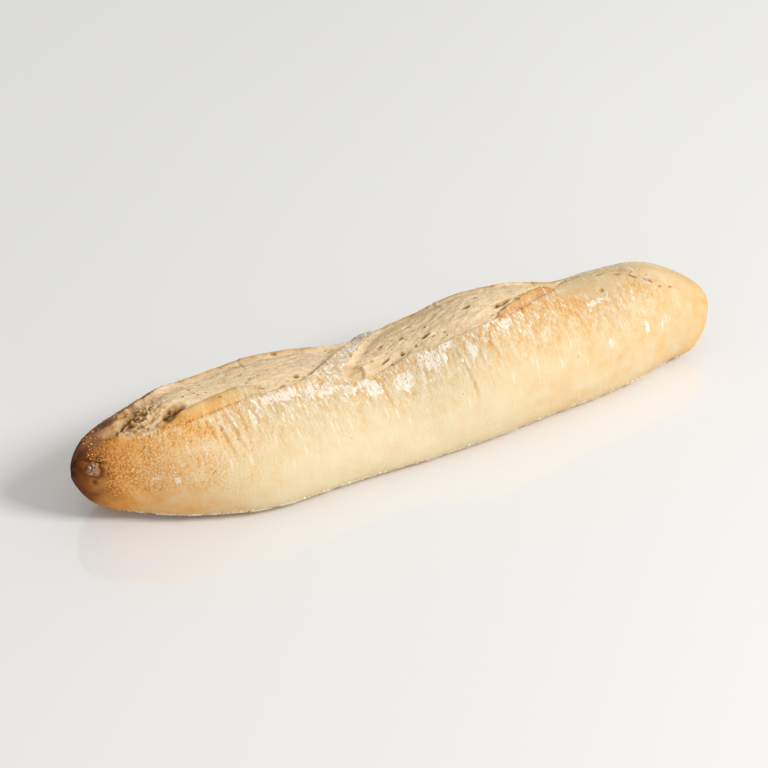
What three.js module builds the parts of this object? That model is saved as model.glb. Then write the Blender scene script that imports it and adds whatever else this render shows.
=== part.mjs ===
// A short, plump baguette with three open slashes along its top.
// Millimetres, +Z up. The loaf lies along X on its flat base. "Near" is the -Y side and
// "far" is the +Y side. All of it is one solid, so it is one mesh.
import * as THREE from "three";

// ---- Driving dimensions ----

const LENGTH = 280;

// The loaf at stations along its length: its near and far edges seen from above, and its
// crest and underside seen from the side. The first and last station are the two tips.
const STATIONS = [
  { x: -140, near: 8, far: 8, crest: 20.4, under: 20.4 },
  { x: -134, near: -1.9, far: 14.8, crest: 33.9, under: 9.4 },
  { x: -120, near: -9.6, far: 20.3, crest: 40.2, under: 4.1 },
  { x: -100, near: -21.5, far: 27.1, crest: 43.5, under: 1.4 },
  { x: -75, near: -30.8, far: 33.9, crest: 39.8, under: 0 },
  { x: -50, near: -33, far: 36.3, crest: 38.6, under: 0 },
  { x: -30, near: -33, far: 33.3, crest: 36.1, under: 0 },
  { x: -8, near: -34.3, far: 29.8, crest: 34.2, under: 0 },
  { x: 14, near: -35.8, far: 27.3, crest: 40, under: 0 },
  { x: 34, near: -36.2, far: 25.3, crest: 45.9, under: 0 },
  { x: 58, near: -34.7, far: 23.8, crest: 44.6, under: 0 },
  { x: 80, near: -33.2, far: 20.6, crest: 38.7, under: 0 },
  { x: 98, near: -31.3, far: 17.7, crest: 39.4, under: 0.3 },
  { x: 116, near: -27.3, far: 12.8, crest: 39.5, under: 1.5 },
  { x: 130, near: -26, far: 6.3, crest: 33.6, under: 4.5 },
  { x: 140, near: -15.9, far: -15.9, crest: 23.4, under: 23.4 },
];

// A cross-section is widest at this share of its height. Above that it is a dome, and below
// it the side turns in to a flat base. A squareness of 2 is an ellipse, and more is boxier.
const WIDEST_LEVEL = 0.31;
const DOME_SQUARENESS = 2.15;
const SIDE_SQUARENESS = 3.5;

// The underside is cut flat this far above the bottom of its curve, and less where the loaf
// is lower than its full height. The crest leans this far towards the far side at mid-length.
const BASE_FLATTENING = 2.5;
const FULL_HEIGHT = 20;
const CREST_LEAN = 2.7;

// Each slash is open between a near and a far edge, whose points are places along X and Y
// seen from above. An ear is a flap of crust that stands along the near edge.
const SLASHES = [
  {
    nearX: [-123.5, -119.5, -109, -96, -70, -56, -42, -28, -5],
    nearY: [4, -0.5, -4.9, -7, -2.5, -4, -2, 6.5, 24],
    farX: [-123.5, -117, -108, -97, -80, -62, -28, -5],
    farY: [4, 8.5, 12, 18, 23, 26, 25.5, 24],
    ear: { from: -106, to: -64, width: 4.5, rise: 1.4 },
  },
  {
    nearX: [-27, -25, -7, 3, 14, 35, 53, 74, 85],
    nearY: [-3.5, -8.5, -7, -6.5, -10, -12.7, -9.5, 0, 7],
    farX: [-27, -16.4, -7.4, 1.6, 10, 25, 42, 70, 85],
    farY: [-3.5, 7.2, 15.4, 19.8, 20, 17, 14, 9.5, 7],
    ear: { from: 37, to: 80, width: 5, rise: 1.4 },
  },
  {
    nearX: [82, 90, 96, 103, 108, 121, 129, 133.5],
    nearY: [6, 6.5, 1.5, -2, -8.5, -16.5, -18, -14.5],
    farX: [82, 89, 101, 110, 129, 133.5],
    farY: [6, 9.5, 8.5, 6, -5, -14.5],
    ear: null,
  },
];

// A slash floor drops to its depth over the width of its wall, and then domes up again by a
// share of the depth. The crust beside it swells to a lip.
const FLOOR_DEPTH = 2;
const FLOOR_DOME = 0.75;
const DOME_REACH = 9;
const WALL_WIDTH = 3.5;
const LIP_RISE = 0.9;
const LIP_WIDTH = 3.2;

// The width of an ear's back slope, and how bluntly the ear ends.
const EAR_BACK = 2.8;
const EAR_TAPER = 0.6;

// Torn and sunken places in the slash floors, as long and wide bowls turned from X.
const HOLLOWS = [
  { x: -113, y: 4.2, long: 6.5, wide: 4, depth: 1.6, turn: 20 },
  { x: -97, y: 0.8, long: 8, wide: 3.6, depth: 2.4, turn: 8 },
  { x: -20.6, y: -4, long: 5.2, wide: 4.8, depth: 2.4, turn: 0 },
];

const HOLLOW_STEEPNESS = 1.4;

// The skin's rings and the points on each, with how closely they crowd at tips and crest.
const RING_COUNT = 108;
const RING_POINTS = 46;
const END_CROWDING = 1.35;
const TOP_CROWDING = 0.35;

const CRUST_COLOR = 0xe3b878;
const CRUST_ROUGHNESS = 0.85;

// ---- Curves ----

const FULL_TURN = 2 * Math.PI;
const CREST_ANGLE = Math.PI / 2;
const SLOPE_STEP = 0.5;
const ANGLE_STEP = 0.01;

/** Rises smoothly from 0 to 1 as the share goes from 0 to 1. */
function ease(share) {
  const held = THREE.MathUtils.clamp(share, 0, 1);
  return held * held * (3 - 2 * held);
}

/** The height at a place on a smooth curve through the given places and heights. */
function smoothCurve(places, heights, place) {
  const last = places.length - 1;
  const slopes = places.map((_, i) => {
    const before = Math.max(i - 1, 0);
    const after = Math.min(i + 1, last);
    return (heights[after] - heights[before]) / (places[after] - places[before]);
  });
  slopes[0] = 2 * slopes[0] - slopes[1];
  slopes[last] = 2 * slopes[last] - slopes[last - 1];
  let i = 0;
  while (i < last - 1 && place > places[i + 1]) {
    i += 1;
  }
  const span = places[i + 1] - places[i];
  const s = THREE.MathUtils.clamp((place - places[i]) / span, 0, 1);
  const rest = 1 - s;
  const fromStart = heights[i] * (1 + 2 * s) * rest * rest + slopes[i] * span * s * rest * rest;
  const fromEnd = heights[i + 1] * (3 - 2 * s) * s * s - slopes[i + 1] * span * s * s * rest;
  return fromStart + fromEnd;
}

/** The angle that runs from 0 at the left tip to pi at the right tip, so that both are round. */
function lengthAngle(x) {
  return Math.acos(THREE.MathUtils.clamp((-2 * x) / LENGTH, -1, 1));
}

/** One of the loaf's four outlines at a place along its length. */
function outline(name, x) {
  const places = STATIONS.map((station) => lengthAngle(station.x));
  const sizes = STATIONS.map((station) => station[name]);
  return smoothCurve(places, sizes, lengthAngle(x));
}

/** An edge of a slash, seen from above: its y and how much longer than X it runs there. */
function slashEdge(places, sides, x) {
  const ahead = smoothCurve(places, sides, x + SLOPE_STEP);
  const behind = smoothCurve(places, sides, x - SLOPE_STEP);
  const slope = (ahead - behind) / (2 * SLOPE_STEP);
  return { y: smoothCurve(places, sides, x), slant: Math.hypot(1, slope) };
}

// ---- The loaf's form ----

/** The sizes of the cross-section at a place along the loaf. */
function sectionAt(x) {
  const near = outline("near", x);
  const far = outline("far", x);
  const crest = outline("crest", x);
  const under = Math.max(outline("under", x), 0);
  const height = crest - under;
  return {
    middle: (near + far) / 2,
    halfWidth: (far - near) / 2,
    crest,
    under,
    widest: under + WIDEST_LEVEL * height,
    flattening: BASE_FLATTENING * Math.min(1, height / FULL_HEIGHT),
    lean: CREST_LEAN * Math.sin(lengthAngle(x)),
  };
}

/** A point of the plain cross-section, with the angle counted from the far side over the crest. */
function sectionPoint(section, angle) {
  const over = Math.sin(angle) >= 0;
  const power = 2 / (over ? DOME_SQUARENESS : SIDE_SQUARENESS);
  const across = Math.sign(Math.cos(angle)) * Math.abs(Math.cos(angle)) ** power;
  const upDown = Math.abs(Math.sin(angle)) ** power;
  const { middle, halfWidth, crest, under, widest, flattening, lean } = section;
  if (over) {
    return { y: middle + halfWidth * across + lean * upDown, z: widest + (crest - widest) * upDown };
  }
  const drop = (widest - under + flattening) * upDown;
  return { y: middle + halfWidth * across, z: Math.max(under, widest - drop) };
}

// ---- Relief: slashes, ears and hollows ----

/** How far inside a slash a place is, in millimetres from its nearest edge. */
function reachInside(slash, x, y) {
  const near = slashEdge(slash.nearX, slash.nearY, x);
  const far = slashEdge(slash.farX, slash.farY, x);
  return Math.min((y - near.y) / near.slant, (far.y - y) / far.slant);
}

/** The height of the slash floor and of the crust's lip beside it. */
function slashRelief(slash, x, y) {
  const start = slash.nearX[0];
  const end = slash.nearX.at(-1);
  if (x < start || x > end) {
    return 0;
  }
  const inside = reachInside(slash, x, y);
  const closing = ease(Math.min(x - start, end - x) / LIP_WIDTH);
  const lip = LIP_RISE * closing * Math.exp(-((inside / LIP_WIDTH) ** 2));
  const floor = FLOOR_DEPTH * ease(inside / WALL_WIDTH) * (1 - FLOOR_DOME * ease(inside / DOME_REACH));
  return lip - floor;
}

/** The height that the ear adds along the near edge of a slash. */
function earRelief(slash, x, y) {
  const ear = slash.ear;
  if (!ear || x < ear.from || x > ear.to) {
    return 0;
  }
  const edge = slashEdge(slash.nearX, slash.nearY, x);
  const across = (y - edge.y) / edge.slant / ear.width;
  const taper = Math.sin((Math.PI * (x - ear.from)) / (ear.to - ear.from)) ** EAR_TAPER;
  const back = 1 - ease(((across - 1) * ear.width) / EAR_BACK);
  return (ear.rise + FLOOR_DEPTH) * taper * ease(across) * back;
}

/** The depth of a hollow at a place on the top. */
function hollowRelief(hollow, x, y) {
  const turn = THREE.MathUtils.degToRad(hollow.turn);
  const dx = x - hollow.x;
  const dy = y - hollow.y;
  const along = (dx * Math.cos(turn) + dy * Math.sin(turn)) / hollow.long;
  const across = (dy * Math.cos(turn) - dx * Math.sin(turn)) / hollow.wide;
  return -hollow.depth * ease(HOLLOW_STEEPNESS * (1 - Math.hypot(along, across)));
}

/** All the relief at a place on the top of the loaf, outwards from the plain form. */
function relief(x, y) {
  const slashes = SLASHES.map((slash) => slashRelief(slash, x, y) + earRelief(slash, x, y));
  const hollows = HOLLOWS.map((hollow) => hollowRelief(hollow, x, y));
  return [...slashes, ...hollows].reduce((sum, height) => sum + height, 0);
}

/** A point of the crust, moved out from the plain cross-section by its relief. */
function crustPoint(section, x, angle) {
  const point = sectionPoint(section, angle);
  if (Math.sin(angle) <= 0) {
    return new THREE.Vector3(x, point.y, point.z);
  }
  const ahead = sectionPoint(section, Math.min(angle + ANGLE_STEP, Math.PI));
  const behind = sectionPoint(section, Math.max(angle - ANGLE_STEP, 0));
  const outward = new THREE.Vector2(ahead.z - behind.z, behind.y - ahead.y).normalize();
  const height = relief(x, point.y);
  return new THREE.Vector3(x, point.y + outward.x * height, point.z + outward.y * height);
}

// ---- Mesh ----

/** Places of the rings along X, crowded towards the tips. */
function ringPlaces() {
  return Array.from({ length: RING_COUNT }, (_, i) => {
    const share = (2 * (i + 1)) / (RING_COUNT + 1) - 1;
    const reach = 1 - (1 - Math.abs(share)) ** END_CROWDING;
    return (Math.sign(share) * reach * LENGTH) / 2;
  });
}

/** Angles of the points of a ring, crowded towards the crest. */
function ringAngles() {
  return Array.from({ length: RING_POINTS }, (_, j) => {
    const share = (2 * j) / RING_POINTS - 1;
    const turn = share * (1 - TOP_CROWDING) + TOP_CROWDING * share ** 3;
    return CREST_ANGLE + (turn * FULL_TURN) / 2;
  });
}

/** The closed skin of the loaf: a tip, rings of points and the other tip. */
function loafGeometry() {
  const first = STATIONS[0];
  const last = STATIONS.at(-1);
  const angles = ringAngles();
  const rings = ringPlaces().map((x) => angles.map((angle) => crustPoint(sectionAt(x), x, angle)));
  const points = [
    new THREE.Vector3(first.x, first.near, first.crest),
    ...rings.flat(),
    new THREE.Vector3(last.x, last.near, last.crest),
  ];
  const ringStart = (ring) => 1 + ring * RING_POINTS;
  const faces = [];
  for (let j = 0; j < RING_POINTS; j += 1) {
    const next = (j + 1) % RING_POINTS;
    faces.push(0, ringStart(0) + next, ringStart(0) + j);
    for (let ring = 0; ring < RING_COUNT - 1; ring += 1) {
      const here = ringStart(ring);
      const ahead = ringStart(ring + 1);
      faces.push(here + j, ahead + next, ahead + j);
      faces.push(here + j, here + next, ahead + next);
    }
    const end = ringStart(RING_COUNT - 1);
    faces.push(end + j, end + next, points.length - 1);
  }
  const geometry = new THREE.BufferGeometry().setFromPoints(points);
  geometry.setIndex(faces);
  return geometry;
}

/** Moves a shape so that it stands on z = 0 with its box centred on the origin. */
function standOnOrigin(geometry) {
  geometry.computeBoundingBox();
  const { min, max } = geometry.boundingBox;
  geometry.translate(-(min.x + max.x) / 2, -(min.y + max.y) / 2, -min.z);
  return geometry;
}

/** Baked, floured crust. */
function crustMaterial() {
  return new THREE.MeshStandardMaterial({ color: CRUST_COLOR, roughness: CRUST_ROUGHNESS, metalness: 0 });
}

const baguette = new THREE.Group();
const loaf = new THREE.Mesh(standOnOrigin(loafGeometry()), crustMaterial());
loaf.name = "loaf";
baguette.add(loaf);

export default baguette;
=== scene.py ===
"""A short, plump baguette with three open slashes along its top, on a plain pale floor.

The loaf lies along X on its flat base. "Near" is the -Y side and "far" is the +Y side. Sizes are
in millimetres until a mesh, a light or the camera takes them, which is in metres.
"""

import logging
import math
from collections.abc import Callable
from dataclasses import dataclass, field
from enum import Enum
from functools import cached_property

import bpy
import numpy as np
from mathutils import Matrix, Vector


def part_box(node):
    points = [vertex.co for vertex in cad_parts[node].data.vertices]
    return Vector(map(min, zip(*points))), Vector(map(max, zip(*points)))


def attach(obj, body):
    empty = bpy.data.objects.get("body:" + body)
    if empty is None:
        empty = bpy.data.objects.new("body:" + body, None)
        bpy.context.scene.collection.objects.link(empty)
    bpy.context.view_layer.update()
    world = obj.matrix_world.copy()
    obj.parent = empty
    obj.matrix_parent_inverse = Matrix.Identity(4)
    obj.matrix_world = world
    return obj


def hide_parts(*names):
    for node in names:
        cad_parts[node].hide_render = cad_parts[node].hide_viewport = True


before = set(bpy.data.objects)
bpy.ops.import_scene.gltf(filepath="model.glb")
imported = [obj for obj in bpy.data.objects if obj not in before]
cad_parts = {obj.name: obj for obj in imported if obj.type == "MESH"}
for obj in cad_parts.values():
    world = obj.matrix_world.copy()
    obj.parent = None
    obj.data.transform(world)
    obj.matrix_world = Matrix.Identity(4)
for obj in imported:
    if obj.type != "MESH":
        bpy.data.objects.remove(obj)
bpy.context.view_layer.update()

Array = np.ndarray
Size = tuple[float, float, float]
Line = tuple[tuple[float, float], ...]
Colour = tuple[float, float, float, float]
Socket = bpy.types.NodeSocket

MM = 0.001
# How many millimetres of crust lie in one radian around the loaf.
ROUND_MM = 34.0
# An edge's slant is measured over this step to either side.
EDGE_STEP = 0.5
# How far a slash's near edge wanders, as a share of what its far edge does.
NEAR_RAGGED = 0.6
WHITE = (1.0, 1.0, 1.0, 1.0)
LOG = logging.getLogger("baguette")


# ---- Small sums ----


def ease(share: Array) -> Array:
    """Rises smoothly from 0 to 1 as the share goes from 0 to 1."""
    held = np.clip(share, 0.0, 1.0)
    return held * held * (3.0 - 2.0 * held)


def bell(offset: Array) -> Array:
    """A smooth hill, 1 in its middle and near 0 from an offset of 2."""
    return np.exp(-np.square(offset))


def rise(at: Array, start: float, end: float) -> Array:
    """Goes smoothly from 0 at the start to 1 at the end, whichever of the two is higher."""
    return ease((at - start) / (end - start))


def hill(at: Array, middle: float, width: float) -> Array:
    """A smooth hill, 1 in its middle and near 0 two widths away."""
    return bell((at - middle) / width)


def smooth_curve(places: Array, heights: Array, at: Array) -> Array:
    """Reads a smooth curve through some points.

    Args:
        places: The points' places, rising.
        heights: The points' heights.
        at: The places to read the curve at.

    Returns:
        The curve's height at each of those places.
    """
    slopes = np.gradient(heights, places)
    slopes[1:-1] = (heights[2:] - heights[:-2]) / (places[2:] - places[:-2])
    slopes[0] = 2.0 * slopes[0] - slopes[1]
    slopes[-1] = 2.0 * slopes[-1] - slopes[-2]
    i = np.clip(np.searchsorted(places, at, side="right") - 1, 0, len(places) - 2)
    span = places[i + 1] - places[i]
    s = np.clip((at - places[i]) / span, 0.0, 1.0)
    rest = 1.0 - s
    from_start = (heights[i] * (1.0 + 2.0 * s) + slopes[i] * span * s) * rest * rest
    from_end = (heights[i + 1] * (3.0 - 2.0 * s) - slopes[i + 1] * span * rest) * s * s
    return from_start + from_end


def spots(mesh: bpy.types.Mesh) -> Array:
    """The mesh's points, one a row."""
    flat = np.empty(len(mesh.vertices) * 3)
    mesh.vertices.foreach_get("co", flat)
    return flat.reshape(-1, 3)


def move_spots(mesh: bpy.types.Mesh, places: Array) -> None:
    """Moves the mesh's points to the given places, one a row."""
    mesh.vertices.foreach_set("co", places.ravel())
    mesh.update()


def linear(code: str) -> Colour:
    """A colour, as Blender's shaders take it, from its usual six-digit code."""
    shares = [int(code[i : i + 2], 16) / 255.0 for i in (0, 2, 4)]
    curved = [s / 12.92 if s <= 0.04045 else ((s + 0.055) / 1.055) ** 2.4 for s in shares]
    return (curved[0], curved[1], curved[2], 1.0)


@dataclass(frozen=True)
class Unevenness:
    """Smooth random heights in space, the same on every run."""

    seed: int
    cells: int = 32
    strength: float = 1.6
    layer_shift: float = 7.3

    @cached_property
    def slopes(self) -> Array:
        """A random slope at each corner of a repeating block of cells."""
        raw = np.random.default_rng(self.seed).normal(size=(self.cells, self.cells, self.cells, 3))
        return raw / np.linalg.norm(raw, axis=3, keepdims=True)

    def at(self, points: Array, size: Size) -> Array:
        """Reads the heights.

        Args:
            points: One place a row.
            size: How large the bumps are each way.

        Returns:
            Heights from about -1 to 1.
        """
        scaled = points / np.array(size)
        cell = np.floor(scaled).astype(int)
        part = scaled - cell
        blend = part**3 * (part * (part * 6.0 - 15.0) + 10.0)
        total = np.zeros(len(points))
        for corner in np.ndindex(2, 2, 2):
            spot = (cell + corner) % self.cells
            slope = self.slopes[spot[:, 0], spot[:, 1], spot[:, 2]]
            weight = np.prod(np.where(corner, blend, 1.0 - blend), axis=1)
            total += weight * np.sum((part - corner) * slope, axis=1)
        return self.strength * total

    def layered(self, points: Array, size: Size, layers: int) -> Array:
        """The heights with finer ones on top, each layer half as large and half as high."""
        scales = [0.5**i for i in range(layers)]
        return sum(
            s * self.at(points + self.layer_shift / s, tuple(s * edge for edge in size)) for s in scales
        )


# ---- The loaf's plain form ----


@dataclass(frozen=True)
class Station:
    """The loaf's outlines at one place along its length, from above and from the side."""

    x: float
    near: float
    far: float
    crest: float
    under: float


STATIONS = (
    Station(-140, 8, 8, 20.4, 20.4),
    Station(-134, -1.9, 14.8, 33.9, 9.4),
    Station(-120, -9.6, 20.3, 40.2, 4.1),
    Station(-100, -21.5, 27.1, 43.5, 1.4),
    Station(-75, -30.8, 33.9, 39.8, 0),
    Station(-50, -33, 36.3, 38.6, 0),
    Station(-30, -33, 33.3, 36.1, 0),
    Station(-8, -34.3, 29.8, 34.2, 0),
    Station(14, -35.8, 27.3, 40, 0),
    Station(34, -36.2, 25.3, 45.9, 0),
    Station(58, -34.7, 23.8, 44.6, 0),
    Station(80, -33.2, 20.6, 38.7, 0),
    Station(98, -31.3, 17.7, 39.4, 0.3),
    Station(116, -27.3, 12.8, 39.5, 1.5),
    Station(130, -26, 6.3, 33.6, 4.5),
    Station(140, -15.9, -15.9, 23.4, 23.4),
)


@dataclass(frozen=True)
class LoafForm:
    """The loaf without its relief: a dome over sides that turn in to a flat base."""

    length: float = 280.0
    stations: tuple[Station, ...] = STATIONS
    widest_level: float = 0.31
    dome_squareness: float = 2.15
    side_squareness: float = 3.1
    base_flattening: float = 2.5
    full_height: float = 20.0
    crest_lean: float = 2.7

    def length_angle(self, x: Array) -> Array:
        """The angle from 0 at the left tip to pi at the right tip, so that both are round."""
        return np.arccos(np.clip(-2.0 * x / self.length, -1.0, 1.0))

    def outline(self, name: str, x: Array) -> Array:
        """One of the loaf's four outlines along its length."""
        places = self.length_angle(np.array([s.x for s in self.stations], float))
        sizes = np.array([getattr(s, name) for s in self.stations], float)
        return smooth_curve(places, sizes, self.length_angle(x))

    def section(self, x: Array, angle: Array) -> tuple[Array, Array]:
        """Places points on the plain cross-sections.

        Args:
            x: Each point's place along the loaf.
            angle: Its direction, from 0 at the far side over the crest to pi at the near side.

        Returns:
            The points' y and z.
        """
        near, far, crest = (self.outline(name, x) for name in ("near", "far", "crest"))
        under = np.maximum(self.outline("under", x), 0.0)
        height = crest - under
        widest = under + self.widest_level * height
        over = np.sin(angle) >= 0.0
        power = np.where(over, self.dome_squareness, self.side_squareness)
        reach = (np.abs(np.cos(angle)) ** power + np.abs(np.sin(angle)) ** power) ** (-1.0 / power)
        across = reach * np.cos(angle)
        up = reach * np.sin(angle)
        lean = self.crest_lean * np.sin(self.length_angle(x)) * np.maximum(up, 0.0)
        flattening = self.base_flattening * np.minimum(1.0, height / self.full_height)
        drop = (widest - under + flattening) * np.maximum(-up, 0.0)
        y = (near + far) / 2.0 + (far - near) / 2.0 * across + lean
        z = np.where(over, widest + (crest - widest) * up, np.maximum(under, widest - drop))
        return y, z


class Mark(Enum):
    """What the skin looks like at a point, each a number from 0 to 1 kept on the mesh."""

    FLOOR = "slash_floor"
    RIM = "golden_rim"
    FLOUR = "flour"
    BAKE = "bake"
    # Painted shade in pores, cracks, holes, grooves and behind the ears' edges.
    PIT = "pit"
    GREY = "grey_crust"
    SAND = "sandy_crust"
    CRACKLE = "crackled_crust"


# The layer that numbers the loaf's points. Halving faces leaves them in any order.
POINT_NUMBER = "point_number"


@dataclass
class Skin:
    """All points of the loaf's skin, what their relief adds, and their marks."""

    x: Array
    y: Array
    z: Array
    angle: Array
    height: Array
    sideways: Array
    marks: dict[Mark, Array]

    @classmethod
    def plain(cls, x: Array, y: Array, z: Array, angle: Array) -> "Skin":
        """A skin with no relief and no marks yet."""
        blank = {mark: np.zeros(len(x)) for mark in Mark}
        return cls(x, y, z, angle, np.zeros(len(x)), np.zeros(len(x)), blank)

    @property
    def top(self) -> Array:
        """Which points are on the dome, where a place seen from above is clear."""
        return (self.angle > 0.0) & (self.angle < math.pi)

    @property
    def around(self) -> Array:
        """Places along and around the loaf, in millimetres, for marks that follow the skin."""
        return np.column_stack([self.x, self.angle * ROUND_MM, np.zeros(len(self.x))])

    @property
    def degrees(self) -> Array:
        """Directions around the loaf in degrees."""
        return np.degrees(self.angle)

    @property
    def space(self) -> Array:
        """Places in space."""
        return np.column_stack([self.x, self.y, self.z])

    def raise_mark(self, mark: Mark, values: Array) -> None:
        """Raises a mark to the given values where they are higher."""
        self.marks[mark] = np.maximum(self.marks[mark], np.clip(values, 0.0, 1.0))

    def lower_mark(self, mark: Mark, values: Array) -> None:
        """Takes the given shares of a mark away."""
        self.marks[mark] = self.marks[mark] * (1.0 - np.clip(values, 0.0, 1.0))


# ---- Relief ----


@dataclass(frozen=True)
class Ear:
    """A flap of crust that stands along the near edge of a slash.

    The mauve is how grey the flap is low on its face, the wear how pale it gets towards its end,
    and the spread how much wider it is there.
    """

    start: float
    end: float
    width: float
    rise: float
    back: float = 0.8
    bluntness: float = 0.5
    overhang: float = 0.6
    overhang_width: float = 0.8
    raggedness: float = 0.45
    spread: float = 0.0
    wear: float = 0.0
    mauve: float = 0.0
    crease: float = 0.9
    crease_width: float = 0.7
    crease_inset: float = -0.2
    crease_shade: float = 0.12
    face_bake: float = 0.06
    face_width: float = 1.4
    low_gold: float = 0.44
    mauve_width: float = 0.8
    gap_shade: float = 0.6
    gap_inset: float = 1.2
    gap_width: float = 0.6


@dataclass(frozen=True)
class Slash:
    """An opening in the crust, between a near and a far edge seen from above.

    The floor sinks by the depth behind the walls and domes up again in the middle. The rims are the
    stretches of the far edge that are golden, and the edges fray before the fray's end.
    """

    near: Line
    far: Line
    rims: Line
    ear: Ear | None
    pores: int
    bareness: float = 1.0
    depth: float = 2.0
    dome: float = 0.75
    dome_reach: float = 9.0
    wall: float = 1.3
    far_wall: float = 5.0
    far_start: float = 0.3
    fade_run: float = 3.2
    lip_rise: float = 0.7
    lip_width: float = 3.2
    lip_run: float = 16.0
    rim_strength: float = 0.9
    rim_width: float = 0.9
    rim_inset: float = 0.3
    rim_raggedness: float = 1.6
    floor_blur: float = 0.9
    fray_end: float = -200.0
    fray_run: float = 10.0
    fray_blur: float = 1.6
    fray_reach: float = 2.6

    @property
    def start(self) -> float:
        """Where the slash begins along X."""
        return self.near[0][0]

    @property
    def end(self) -> float:
        """Where the slash ends along X."""
        return self.near[-1][0]

    @staticmethod
    def edge(points: Line, x: Array) -> tuple[Array, Array]:
        """Follows an edge.

        Args:
            points: The edge's points.
            x: Places along the loaf.

        Returns:
            The edge's y there, and how much longer than X it runs.
        """
        places, sides = np.array(points, float).T
        ahead, behind = (smooth_curve(places, sides, x + move) for move in (EDGE_STEP, -EDGE_STEP))
        return smooth_curve(places, sides, x), np.hypot(1.0, (ahead - behind) / (2.0 * EDGE_STEP))

    def inside(self, x: Array, y: Array) -> tuple[Array, Array]:
        """How far inside the near edge and inside the far edge each place is."""
        near, near_slant = self.edge(self.near, x)
        far, far_slant = self.edge(self.far, x)
        return (y - near) / near_slant, (far - y) / far_slant

    def cut(self, skin: Skin, ragged: Array) -> None:
        """Opens the slash in the skin.

        Args:
            skin: The loaf's skin.
            ragged: How far the slash's edges wander at each point.
        """
        from_near, from_far = self.inside(skin.x, skin.y)
        inside = np.minimum(from_near + NEAR_RAGGED * ragged, from_far + ragged)
        from_end = np.minimum(skin.x - self.start, self.end - skin.x)
        here = skin.top & (from_end > 0.0)
        closing = np.where(here, ease(from_end / self.fade_run), 0.0)
        rising = ease(from_end / self.lip_run)
        lip = np.where(here, self.lip_rise * rising * bell(inside / self.lip_width), 0.0)
        domed = 1.0 - self.dome * ease(inside / self.dome_reach)
        walls = ease(inside / self.wall) * ease(self.far_start + from_far / self.far_wall)
        skin.height += lip - closing * self.depth * walls * domed
        fray = ease((self.fray_end - skin.x) / self.fray_run)
        blur = self.floor_blur + self.fray_blur * fray
        bare = ease(0.5 + (inside + self.fray_reach * fray * ragged) / blur)
        skin.raise_mark(Mark.FLOOR, closing * (self.bareness * bare))
        rim = hill(from_far + self.rim_raggedness * ragged, self.rim_inset, self.rim_width)
        for start, end in self.rims:
            along = ease(np.minimum(skin.x - start, end - skin.x) / self.lip_width) * closing
            skin.raise_mark(Mark.RIM, self.rim_strength * along * rim)
        if self.ear:
            self.lift_ear(skin, self.ear, ragged)

    def lift_ear(self, skin: Skin, ear: Ear, ragged: Array) -> None:
        """Lifts the flap along the slash's near edge, golden on its face and grey low down, with painted
        shade in its crease and behind its top edge.

        Args:
            skin: The loaf's skin.
            ear: The flap's sizes.
            ragged: How far its top edge wanders at each point.
        """
        from_near, _ = self.inside(skin.x, skin.y)
        along = np.clip((skin.x - ear.start) / (ear.end - ear.start), 0.0, 1.0)
        taper = np.where(skin.top, np.sin(math.pi * along) ** ear.bluntness, 0.0)
        width = ear.width * (0.5 + 0.5 * taper) + ear.raggedness * ragged + ear.spread * along
        back = 1.0 - ease((from_near - width) / ear.back)
        filled = self.depth * (1.0 - self.dome * ease(from_near / self.dome_reach))
        filled *= ease((from_near + NEAR_RAGGED * ragged) / self.wall)
        crease = hill(from_near, ear.crease_inset, ear.crease_width) * ease(0.7 + ragged)
        flap = ear.rise * ease(from_near / width) + filled - ear.crease * crease
        skin.height += flap * back * taper
        skin.sideways += ear.overhang * taper * hill(from_near, width, ear.overhang_width)
        whole = ease(3.0 * taper)
        on_face = whole * ease(from_near / ear.face_width + 0.4) * back
        skin.lower_mark(Mark.FLOOR, whole * ease(from_near + 1.6) * back)
        worn = 1.0 - ear.wear * rise(along, 0.5, 0.85)
        gold = ear.low_gold + (1.0 - ear.low_gold) * ease(1.6 * from_near / width - 0.6)
        skin.raise_mark(Mark.RIM, worn * on_face * gold)
        face_bake = ear.face_bake + 0.3 * ear.mauve
        # The crease at the flap's foot is browned with painted shade.
        skin.raise_mark(Mark.BAKE, whole * worn * (face_bake * on_face + ear.crease_shade * crease))
        low_face = hill(from_near, 0.3 * width, ear.mauve_width) * ease(1.3 - 2.0 * ragged)
        grey = ear.mauve * taper * back * low_face
        skin.raise_mark(Mark.GREY, grey)
        skin.lower_mark(Mark.RIM, 1.4 * grey)
        # Painted shade in the gap behind the flap's top edge.
        gap = hill(from_near - width, ear.gap_inset, ear.gap_width) * ease(0.5 + 1.2 * ragged)
        skin.raise_mark(Mark.PIT, ear.gap_shade * ease(2.0 * taper - 0.4) * gap)


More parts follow.
